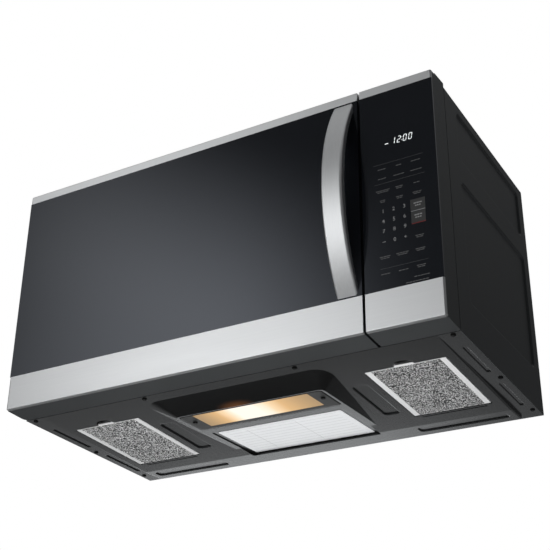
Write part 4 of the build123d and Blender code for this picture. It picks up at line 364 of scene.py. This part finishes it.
# Painted shade: the plate's rim is coloured near black for the shade of the gap round it, and the
# same mask sinks the rim in the bump.
inside_shaded_rim = off_edge.rise(0.0004, 0.0032)
pebble_inside_shaded_rim = inside_shaded_rim * (0.5 + 0.5 * pebble)
plate_coat.surface("Base Color", plate_coat.blend(pebble_inside_shaded_rim, tone(0.001), tone(0.02)))
plate_coat.surface("Roughness", 0.42 + 0.15 * pebble)
plate_coat.surface("Specular IOR Level", 0.3)
plate_coat.relief(inside_shaded_rim + 0.05 * pebble, 0.0012, 1.0)
plate_coat.dress("lamp_plate")

black_screw = Finish("black_oxide_screws", (0.003, 0.003, 0.003), 0.5)
black_screw.surface("Roughness", 0.45 + 0.2 * black_screw.noise(1800.0))
black_screw.surface("Specular IOR Level", 0.15)
black_screw.relief(black_screw.noise(1300.0), 0.00004, 0.4)
black_screw.dress("pan_screws")


# ---------------------------------------------------------------- cooktop lamp lens
# Moulded frosted lens in the console's plate, lit from behind by a lamp that stands left
# of its middle, so that the glow falls off faster to the left.
lens = Finish("frosted_lens", (0.2, 0.13, 0.07), 0.5)
lens.surface("Specular IOR Level", 0.2)
x = lens.axes()[0]
off_lamp = (0.78 * (x - lamp_x)).greater(1.15 * (lamp_x - x))
ripple = lens.noise(60.0, 2.0, lens.stretched((1.0, 0.25, 1.0)))
glow_reach = 0.105
glow = off_lamp.rise(glow_reach, 0.0) * (0.92 + 0.16 * ripple)
glow_stops = (
    (0.0, (0.26, 0.17, 0.08)),
    (0.2, (0.42, 0.26, 0.11)),
    (0.5, (0.66, 0.4, 0.16)),
    (0.72, (0.9, 0.68, 0.42)),
    (0.92, (1.0, 0.97, 0.88)),
)
warmth = lens.node("ShaderNodeValToRGB", {"stops": glow_stops}, {0: glow}).outputs[0]
lens.surface("Emission Color", warmth)
lens.surface("Emission Strength", 0.9)
lens.relief(lens.noise(500.0, 2.0), 0.0001, 0.6)
lens.dress("lamp_lens")


# ---------------------------------------------------------------- rating plate
# Blank pale plate of thin sheet in the console's recess, with plain ruled lines.
# Its corners are rounded and its edges turned over a little.
front = -0.398
console_fall, console_run = 2.2, 135
plate_half = (0.113, 0.0625)
plate_centre = (0.0, front + 0.2795, -0.0143)
plate_tilt = math.atan(console_fall / console_run)
plate_sheet = 0.0006


def start_clean():
    """Nothing selected and nothing in edit mode before a new piece is made."""
    if bpy.context.object and bpy.context.object.mode != "OBJECT":
        bpy.ops.object.mode_set(mode="OBJECT")
    bpy.ops.object.select_all(action="DESELECT")


def settle(piece, name):
    """Names a finished piece and puts its place, turn and scale into its mesh."""
    start_clean()
    piece.name = name
    piece.data.name = name
    piece.select_set(True)
    bpy.context.view_layer.objects.active = piece
    bpy.ops.object.transform_apply(location=True, rotation=True, scale=True)
    return piece


def apply_modifier(piece, kind, settings):
    modifier = piece.modifiers.new(kind.lower(), kind)
    for key, value in settings.items():
        setattr(modifier, key, value)
    bpy.context.view_layer.objects.active = piece
    bpy.ops.object.modifier_apply(modifier=modifier.name)


def face_outward():
    """Turns every face of the active piece outward."""
    bpy.ops.object.mode_set(mode="EDIT")
    bpy.ops.mesh.select_all(action="SELECT")
    bpy.ops.mesh.normals_make_consistent(inside=False)
    bpy.ops.object.mode_set(mode="OBJECT")


def coat_with(piece, finish):
    piece.data.materials.clear()
    piece.data.materials.append(finish.material)


start_clean()
bpy.ops.mesh.primitive_plane_add(size=2.0, location=plate_centre, rotation=(plate_tilt, 0.0, 0.0))
plate = bpy.context.object
plate.scale = (*plate_half, 1.0)
bpy.ops.object.transform_apply(location=False, rotation=False, scale=True)
bpy.ops.object.mode_set(mode="EDIT")
bpy.ops.mesh.bevel(offset=0.003, segments=4, affect="VERTICES")
bpy.ops.mesh.extrude_region_move(TRANSFORM_OT_translate={"value": (0.0, 0.0, -plate_sheet)})
bpy.ops.object.mode_set(mode="OBJECT")
apply_modifier(plate, "BEVEL", {"width": 0.0002, "segments": 2})
face_outward()
settle(plate, "rating_plate")
plate_paper = Finish("ruled_pale_plate", (0.72, 0.74, 0.77), 0.5)
x, y = plate_paper.axes()[:2]
row_pitch = 0.0125
across_plate = y - plate_centre[1]
row = abs((across_plate % row_pitch) - row_pitch / 2)
line = (1.0 - row.rise(0.0002, 0.0005)) * (1.0 - abs(x).rise(0.1015, 0.102))
beside = abs(abs(x + 0.02) - 0.045)
column = (1.0 - beside.rise(0.0002, 0.0005)) * (1.0 - abs(across_plate).rise(0.05, 0.0505))
ruled = line.greater(column)
cloudy = plate_paper.noise(30.0)
paper = plate_paper.blend(cloudy, (0.85, 0.86, 0.875, 1.0), (0.92, 0.93, 0.94, 1.0))
plate_paper.surface("Base Color", plate_paper.blend(ruled * 0.7, paper, tone(0.16)))
plate_paper.surface("Roughness", 0.24 + 0.12 * plate_paper.noise(900.0))
plate_paper.surface("Coat Weight", 0.6)
plate_paper.relief(plate_paper.noise(700.0), 0.00003, 0.5)
coat_with(plate, plate_paper)
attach(plate, "cabinet")


# ---------------------------------------------------------------- grease filters
# Each filter is a stack of crumpled expanded-aluminium mesh folded into a rolled frame.
# The frame's two long sides are bright, and a pull tab stands out at its front.
rolled = Finish("rolled_aluminium", (0.86, 0.87, 0.88), 0.3, 0.05)
scratches = rolled.noise(1200.0, 3.0, rolled.stretched((1.0, 0.05, 1.0)))
rolled.surface("Base Color", rolled.blend(scratches, tone(0.84), tone(0.98)))
rolled.surface("Roughness", 0.26 + 0.24 * scratches)
rolled.relief(scratches, 0.00006, 0.6)
rolled.dress("left_filter_frame", "right_filter_frame")

wire = Finish("expanded_aluminium", (0.62, 0.63, 0.65), 0.35, 0.1)
# Painted shade and painted glints: patches of strands are coloured near black and others near
# white; the same noise varies the roughness.
shade_and_glint_patches = wire.noise(480.0, 2.0)
wire.surface("Base Color", wire.blend(shade_and_glint_patches.rise(0.47, 0.56), tone(0.012), tone(0.98)))
wire.surface("Roughness", 0.26 + 0.3 * shade_and_glint_patches)
dark_core = Finish("shadowed_mesh_core", (0.05, 0.05, 0.052), 0.6, 0.3)
strands = dark_core.cells(520.0, dark_core.stretched((1.0, 0.7, 1.0)), "DISTANCE_TO_EDGE")
dark_core.surface("Base Color", dark_core.blend(strands.rise(0.04, 0.16), tone(0.12), tone(0.004)))
dark_core.relief(strands, 0.0006, 0.8)

# The pads lie along the pan's sloping floor. Each layer has its cells across, its cells
# along and its height over the pad's middle.
pan_fall, pan_run = 14.4, 288.5
slope = pan_fall / pan_run
pad_front_y, pad_front_z = -0.3485, -0.0032
wire_size = (0.1075, 0.179, 1.0)
core_size = (0.123, 0.1785, 0.0012)
core_height = 0.0044
wire_layers = ((40, 62, 0.0006), (30, 46, 0.0026), (30, 46, 0.0064))
crumpling = {"texture_coords": "GLOBAL", "strength": 0.0024, "mid_level": 0.5}
crumple = bpy.data.textures.new("crumple", "CLOUDS")
crumple.noise_scale = 0.008
crumple.noise_depth = 2
for side in ("left", "right"):
    pad_low, pad_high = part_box(side + "_filter_mesh")
    centre = [(a + b) / 2 for a, b in zip(pad_low, pad_high)]
    middle = pad_front_z - slope * (centre[1] - pad_front_y)
    layers = []
    for layer, (across, along, height) in enumerate(wire_layers):
        start_clean()
        bpy.ops.mesh.primitive_grid_add(x_subdivisions=across, y_subdivisions=along, size=1.0)
        mesh = bpy.context.object
        bpy.ops.object.mode_set(mode="EDIT")
        bpy.ops.mesh.poke()
        bpy.ops.mesh.tris_convert_to_quads(face_threshold=3.1, shape_threshold=3.1)
        bpy.ops.object.mode_set(mode="OBJECT")
        mesh.scale = wire_size
        mesh.rotation_euler = (-math.atan(slope), 0.0, 0.0)
        mesh.location = (centre[0], centre[1], middle + height)
        settle(mesh, "%s_mesh_layer_%d" % (side, layer))
        apply_modifier(mesh, "DISPLACE", {"texture": crumple, **crumpling})
        apply_modifier(mesh, "WIREFRAME", {"thickness": 0.0008, "use_even_offset": False})
        coat_with(mesh, wire)
        layers.append(mesh)
    start_clean()
    bpy.ops.mesh.primitive_cube_add(size=1.0)
    core = bpy.context.object
    core.scale = core_size
    core.rotation_euler = (-math.atan(slope), 0.0, 0.0)
    core.location = (centre[0], centre[1], middle + core_height)
    settle(core, side + "_mesh_core")
    apply_modifier(core, "BEVEL", {"width": 0.0004, "segments": 2})
    coat_with(core, dark_core)
    start_clean()
    for piece in layers:
        piece.select_set(True)
    bpy.context.view_layer.objects.active = layers[0]
    bpy.ops.object.join()
    stack = layers[0]
    settle(stack, side + "_filter_wire")
    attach(stack, side + "_filter")
    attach(core, side + "_filter")
    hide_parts(side + "_filter_mesh")


# ---------------------------------------------------------------- door and panel mouldings
# Glass-filled charcoal mouldings with a fine spark-eroded grain; the door's carries the
# perforated shield, the inner pane and the frame that covers the choke.
grained = Finish("grained_charcoal_moulding", (0.028, 0.028, 0.03), 0.42)
spark = grained.cells(1400.0)
patchy = grained.noise(12.0)
patches = grained.blend(patchy, (0.017, 0.019, 0.02, 1.0), (0.024, 0.0265, 0.028, 1.0))
grained.surface("Base Color", patches)
grained.surface("Roughness", 0.36 + 0.16 * spark)
grained.relief(spark, 0.00006, 0.6)
grained.dress("door_frame", "panel_frame", "choke_cover")

pane = Finish("smoked_inner_pane", (0.32, 0.33, 0.34), 0.05)
pane.surface("Transmission Weight", 0.85)
pane.surface("IOR", 1.5)
pane.relief(pane.noise(15.0, 1.0), 0.0003, 0.2)
pane.dress("door_inner_pane")

shield = Finish("perforated_shield", (0.04, 0.04, 0.042), 0.4, 0.3)
x, z = shield.axes()[::2]
hole_pitch_x, hole_pitch_z = 0.003, 0.0026
offset_row = ((z / hole_pitch_z) % 2.0).rise(0.999, 1.001) * (hole_pitch_x / 2)
across = ((x + offset_row) % hole_pitch_x) - hole_pitch_x / 2
along = (z % hole_pitch_z) - hole_pitch_z / 2
round_hole = (across * across + along * along).rise(0.0000009, 0.0000014)
shield.surface("Base Color", shield.blend(round_hole, tone(0.002), tone(0.075)))
shield.relief(round_hole, 0.0004, 0.9)
shield.dress("door_screen")


# ---------------------------------------------------------------- stainless strips
# Thin stainless caps along the top and bottom of the door and the panel, with a satin
# grain drawn along their length and folded round the edges.
satin = Finish("satin_strip", (0.62, 0.62, 0.62), 0.33, 1.0)
drawn = satin.noise(700.0, 4.0, satin.stretched((0.012, 1.0, 1.0)), 0.6)
broad = satin.noise(30.0, 3.0, satin.stretched((0.2, 1.0, 1.0)))
satin.surface("Base Color", satin.blend(drawn, tone(0.66), tone(0.73)))
satin.surface("Roughness", 0.28 + 0.1 * drawn + 0.05 * broad)
satin.surface("Anisotropic", 0.7)
satin.surface("Anisotropic Rotation", 0.25)
satin.relief(drawn, 0.00003, 0.3)
satin.dress("door_top_trim", "door_bottom_trim", "panel_top_trim", "panel_bottom_trim")


# ---------------------------------------------------------------- black glass
# Tempered glass printed black behind, flush between the strips, the door's and the
# panel's cut from the same sheet.
black_glass = Finish("black_backed_glass", (0.008, 0.008, 0.009), 0.06)
smear = black_glass.noise(14.0, 4.0)
black_glass.surface("Roughness", 0.05 + 0.05 * smear)
backing = black_glass.blend(smear, (0.006, 0.007, 0.009, 1.0), (0.009, 0.01, 0.0125, 1.0))
black_glass.surface("Base Color", backing)
black_glass.surface("Specular Tint", (0.76, 0.81, 0.94, 1.0))
black_glass.surface("Coat Weight", 0.26)
black_glass.dress("door_glass", "panel_glass")


# ---------------------------------------------------------------- handle
# Solid bowed bar with a satin grain along its length, screwed from inside the door
# through the glass into its two flat feet.
bar_satin = Finish("satin_handle_bar", (0.72, 0.72, 0.73), 0.3, 1.0)
length_grain = bar_satin.noise(800.0, 4.0, bar_satin.stretched((1.0, 0.4, 0.012)), 0.6)
bar_satin.surface("Base Color", bar_satin.blend(length_grain, tone(0.82), tone(0.96)))
bar_satin.surface("Roughness", 0.4 + 0.1 * length_grain)
bar_satin.relief(length_grain, 0.00003, 0.4)
bar_satin.dress("door_handle")


# ---------------------------------------------------------------- printed keys and clock
# Legends screen printed on the panel's glass in grey and white, with two shaded keys,
# and the clock's lit segments showing through.
mm = 0.001
ink_gap = 0.00002
ink_height = 0.00003
ink_white = Finish("white_legend_ink", (0.55, 0.56, 0.57), 0.5)
ink_white.surface("Base Color", ink_white.blend(ink_white.noise(800.0), tone(0.26), tone(0.4)))
ink_grey = Finish("grey_legend_ink", (0.2, 0.2, 0.21), 0.5)
ink_grey.surface("Base Color", ink_grey.blend(ink_grey.noise(800.0), tone(0.08), tone(0.15)))
ink_key = Finish("shaded_key_ink", (0.07, 0.07, 0.072), 0.45)
ink_key.surface("Base Color", ink_key.blend(ink_key.noise(600.0), tone(0.024), tone(0.036)))
ink_red = Finish("red_underline_ink", (0.5, 0.03, 0.02), 0.45)
red = ink_red.blend(ink_red.noise(600.0), (0.24, 0.016, 0.014, 1.0), (0.34, 0.026, 0.02, 1.0))
ink_red.surface("Base Color", red)
segments_lit = Finish("lit_clock_segments", (0.8, 0.85, 0.85), 0.5)
lit = segments_lit.blend(segments_lit.noise(400.0), (0.8, 0.86, 0.86, 1.0), tone(1.0))
segments_lit.surface("Emission Color", lit)
segments_lit.surface("Emission Strength", 1.1)


def printed_bar(left, right, low_z, high_z):
    """Thin printed block on the glass with its corners cut, placed in millimetres."""
    start_clean()
    centre = ((left + right) / 2 * mm, front - ink_gap, (low_z + high_z) / 2 * mm)
    bpy.ops.mesh.primitive_plane_add(size=1.0, location=centre, rotation=(math.pi / 2, 0.0, 0.0))
    bar = bpy.context.object
    bar.scale = ((right - left) * mm, (high_z - low_z) * mm, 1.0)
    bpy.ops.object.transform_apply(location=False, rotation=False, scale=True)
    bpy.ops.object.mode_set(mode="EDIT")
    corner = min(0.6, 0.25 * min(right - left, high_z - low_z)) * mm
    bpy.ops.mesh.bevel(offset=corner, segments=2, affect="VERTICES")
    bpy.ops.mesh.extrude_region_move(TRANSFORM_OT_translate={"value": (0.0, -ink_height, 0.0)})
    bpy.ops.object.mode_set(mode="OBJECT")
    return settle(bar, "bar")


size_per_height = 1.34


def printed_sign(sign, x_mid, z_mid, height):
    """One printed figure, centred at a place on the glass."""
    start_clean()
    place = (x_mid * mm, front - ink_gap, z_mid * mm)
    bpy.ops.object.text_add(location=place, rotation=(math.pi / 2, 0.0, 0.0))
    figure = bpy.context.object
    figure.data.body = sign
    figure.data.align_x = "CENTER"
    figure.data.align_y = "CENTER"
    figure.data.size = height * mm * size_per_height
    figure.data.resolution_u = 4
    figure.data.extrude = ink_gap
    bpy.ops.object.convert(target="MESH")
    return settle(bpy.context.object, "figure")


def print_together(pieces, name, finish):
    """Joins printed pieces of one ink into one piece on the panel."""
    start_clean()
    for piece in pieces:
        coat_with(piece, finish)
        piece.select_set(True)
    bpy.context.view_layer.objects.active = pieces[0]
    if len(pieces) > 1:
        bpy.ops.object.join()
    print_piece = settle(pieces[0], name)
    face_outward()
    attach(print_piece, "cabinet")
    return print_piece


columns = (294.8, 311.0, 327.2)
rows = (179.5, 163.2, 147.3, 130.5)
figure_height = 6.2
figures = []
for index in range(9):
    column, key_row = columns[index % 3], rows[index // 3]
    figures.append(printed_sign(str(index + 1), column, key_row, figure_height))
figures.append(printed_sign("0", columns[1], rows[3], figure_height))
figures.append(printed_sign("+", columns[2], rows[3], figure_height))
figures.append(printed_bar(292.2, 297.4, rows[3] - 0.4, rows[3] + 0.4))
print_together(figures, "panel_figures", ink_white)

# Each row of legends: its height, then the middle, width and count of lines of each word.
word_rows = (
    (249.1, ((295.0, 13.0, 1), (321.4, 9.0, 1), (347.7, 15.0, 1))),
    (233.5, ((295.0, 13.0, 1), (321.3, 17.0, 1), (347.7, 18.0, 1))),
    (212.5, ((295.6, 22.0, 2), (320.9, 12.0, 2), (347.5, 10.0, 1))),
    (196.0, ((294.7, 9.0, 2), (321.0, 11.0, 2), (347.7, 14.0, 2))),
    (126.7, ((348.1, 13.0, 2),)),
    (106.1, ((295.2, 17.0, 2), (321.4, 19.0, 2), (348.1, 15.0, 2))),
    (80.7, ((295.1, 14.0, 1), (321.8, 15.0, 1), (348.1, 14.0, 2))),
    (66.3, ((348.4, 23.0, 1),)),
    (59.6, ((341.0, 34.0, 1),)),
)
line_pitch = 2.6
half_letter = 0.6
legends = []
for height, words in word_rows:
    for x_mid, width, lines in words:
        for line_index in range(lines):
            z_mid = height + line_pitch * (lines - 1) / 2 * (1 - 2 * line_index)
            share = width * (1.0 - 0.2 * line_index)
            letters = max(2, round(share / 5))
            pitch = share / letters
            for index in range(letters):
                left = x_mid - share / 2 + pitch * index
                ends = (left + 0.25, left + pitch - 0.35)
                legends.append(printed_bar(*ends, z_mid - half_letter, z_mid + half_letter))
print_together(legends, "panel_legends", ink_grey)

rule_places = ((282.3, 359.3, 257.5), (282.6, 360.2, 225.0), (287.6, 358.9, 88.8))
rules = [printed_bar(left, right, low, low + 0.3) for left, right, low in rule_places]
print_together(rules, "panel_rules", ink_grey)
keys = [printed_bar(336.5, 358.7, 168.4, 186.0), printed_bar(337.0, 358.3, 148.6, 166.2)]
print_together(keys, "panel_keys", ink_key)
key_words = [printed_bar(337.0, 358.5, 167.0, 168.0)]
for z_mid, width in ((179.5, 13.0), (175.5, 9.0), (160.5, 12.0), (156.5, 10.0)):
    for index in range(3):
        left = 347.6 - width / 2 + width / 3 * index
        word = printed_bar(left + 0.3, left + width / 3 - 0.3, z_mid - 0.9, z_mid + 0.9)
        word.location.y -= 2 * ink_gap
        key_words.append(settle(word, "word"))
print_together(key_words, "panel_key_legends", ink_white)
print_together([printed_bar(337.4, 358.3, 147.3, 148.2)], "panel_stop_line", ink_red)

# The clock's segments, across and up from the middle of a figure, and those that each shows.
segment_places = {
    "top": ((-1.7, 1.7), (4.6, 5.4)),
    "middle": ((-1.7, 1.7), (-0.4, 0.4)),
    "foot": ((-1.7, 1.7), (-5.4, -4.6)),
    "left_high": ((-2.6, -1.8), (0.5, 4.8)),
    "left_low": ((-2.6, -1.8), (-4.8, -0.5)),
    "right_high": ((1.8, 2.6), (0.5, 4.8)),
    "right_low": ((1.8, 2.6), (-4.8, -0.5)),
}
shown = {
    "1": ("right_high", "right_low"),
    "2": ("top", "right_high", "middle", "left_low", "foot"),
    "0": ("top", "right_high", "right_low", "foot", "left_low", "left_high"),
}
clock_z = 292.2
clock = [printed_bar(302.0, 307.5, 289.6, 290.6)]
for figure, centre_x in (("1", 315.0), ("2", 324.0), ("0", 333.4), ("0", 341.8)):
    for part in shown[figure]:
        (x_low, x_high), (z_low, z_high) = segment_places[part]
        ends = (centre_x + x_low, centre_x + x_high)
        clock.append(printed_bar(*ends, clock_z + z_low, clock_z + z_high))
for dot_z in (290.0, 294.4):
    clock.append(printed_bar(328.3, 329.2, dot_z - 0.5, dot_z + 0.5))
clock = print_together(clock, "clock_segments", segments_lit)
lean = math.tan(math.radians(10.0))
for vertex in clock.data.vertices:
    vertex.co.x += lean * (vertex.co.z - clock_z * mm)


# ---------------------------------------------------------------- studio
# Plain pale floor well below the hung oven, a surround that is white to the camera and
# holds soft cards for whatever reflects it, and one soft lamp below. The floor adds light
# for the camera alone, so that it reads near white.
start_clean()
floor_place = (0.0, -6.7, -2.6)
bpy.ops.mesh.primitive_plane_add(size=16.0, location=floor_place)
floor = bpy.context.object
floor.name = "studio_floor"
floor_paint = Finish("pale_floor", (0.8, 0.8, 0.8), 0.6)
floor_paint.surface("Base Color", floor_paint.blend(floor_paint.noise(3.0), tone(0.78), tone(0.82)))
rays = floor_paint.node("ShaderNodeLightPath")
to_camera = Level(floor_paint, rays.outputs["Is Camera Ray"])
seen_floor = floor_paint.blend(to_camera, tone(0.0), tone(0.66))
floor_paint.surface("Emission Color", seen_floor)
floor_paint.surface("Emission Strength", 1.0)
coat_with(floor, floor_paint)

world = bpy.data.worlds.new("studio")
bpy.context.scene.world = world
world.use_nodes = True


class Surround(Finish):
    """The world's own nodes, with the same way of adding them."""

    def __init__(self, tree):
        self.tree = tree
        self.shader = tree.nodes["Background"]


sky = Surround(world.node_tree)
direction = sky.node("ShaderNodeTexCoord").outputs["Generated"]
split = sky.node("ShaderNodeSeparateXYZ", None, {0: direction})
sideways, depth, height = [Level(sky, output) for output in split.outputs]

# Two cards in front give the glass and the strips their gradation.
in_front = (0.0 - depth).rise(0.05, 0.3)
across = sideways / (0.0 - depth).greater(0.05)
tilted = height + 0.154 * across.greater(-2.0).lesser(2.0) + 0.092
card = 1.97 * tilted.rise(0.566, 0.388) * tilted.rise(-0.05, 0.2) * across.rise(-1.186, -0.643)
card = card * across.rise(-0.375, -0.649) * in_front
low_card = 2.5 * height.rise(0.36, 0.24) * height.rise(-0.5, -0.2) * across.rise(-0.96, -0.52)
low_card = low_card * across.rise(0.0, -0.55) * in_front

# A faint light overhead, and a glow behind the oven that the pan's rims and rear strip see.
overhead = 0.25 * height.rise(0.62, 0.95)
leftward = (sideways / depth.greater(0.05)).greater(-2.0).lesser(2.0)
lowered = height + 0.177 * leftward + 0.14
glow = 0.95 * lowered.rise(-0.34, -0.3) + 2.6 * lowered.rise(-0.2, 0.0)
behind = glow * depth.rise(0.2, 0.4) * leftward.rise(-0.28, -0.5)
behind = behind * leftward.rise(-1.05, -0.7) * height.rise(0.75, 0.5)

# A dim band low behind the oven for the pan's slope, and a card for the case's right side.
dim_band = 0.25 * height.rise(-0.56, -0.46) * height.rise(-0.1, -0.3) * depth.rise(0.0, 0.3)
side_card = 0.22 * height.rise(0.36, 0.78) * sideways.rise(0.0, 0.2) * depth.rise(0.2, 0.5)
base_level = 0.015 + 0.085 * height.rise(-0.3, -0.1)
level = base_level + dim_band + side_card + card.greater(low_card) + overhead + behind
path = sky.node("ShaderNodeLightPath")
cool_grey = {0: 0.965 * level, 1: 0.985 * level, 2: level}
grey = sky.node("ShaderNodeCombineXYZ", None, cool_grey).outputs[0]
straight = Level(sky, path.outputs["Is Camera Ray"]).greater(path.outputs["Is Transmission Ray"])
sky.surface("Color", sky.blend(straight, grey, tone(1.0)))

# One large soft lamp below, which brightens the pale filters and the plate.
lamp_place = Vector((0.15, -0.75, -0.86))
lamp_aim = Vector((0.0, -0.2, 0.0))
lamp_data = bpy.data.lights.new("under_lamp", "AREA")
lamp_data.shape = "RECTANGLE"
lamp_data.size = 0.8
lamp_data.size_y = 0.5
lamp_data.energy = 7.6
lamp = bpy.data.objects.new("under_lamp", lamp_data)
bpy.context.scene.collection.objects.link(lamp)
lamp.location = lamp_place
lamp.rotation_euler = (lamp_aim - lamp_place).to_track_quat("-Z", "Y").to_euler()
lamp.visible_glossy = False

# Camera fitted to edges of the photograph.
camera_data = bpy.data.cameras.new("camera")
camera_data.sensor_width = 36.0
camera_data.lens = 73.548
camera = bpy.data.objects.new("camera", camera_data)
bpy.context.scene.collection.objects.link(camera)
camera.location = (0.85698, -1.66127, -0.61714)
camera.rotation_euler = [math.radians(angle) for angle in (116.8069, -0.5401, 30.0132)]
bpy.context.scene.camera = camera
bpy.context.scene.view_settings.view_transform = "Standard"
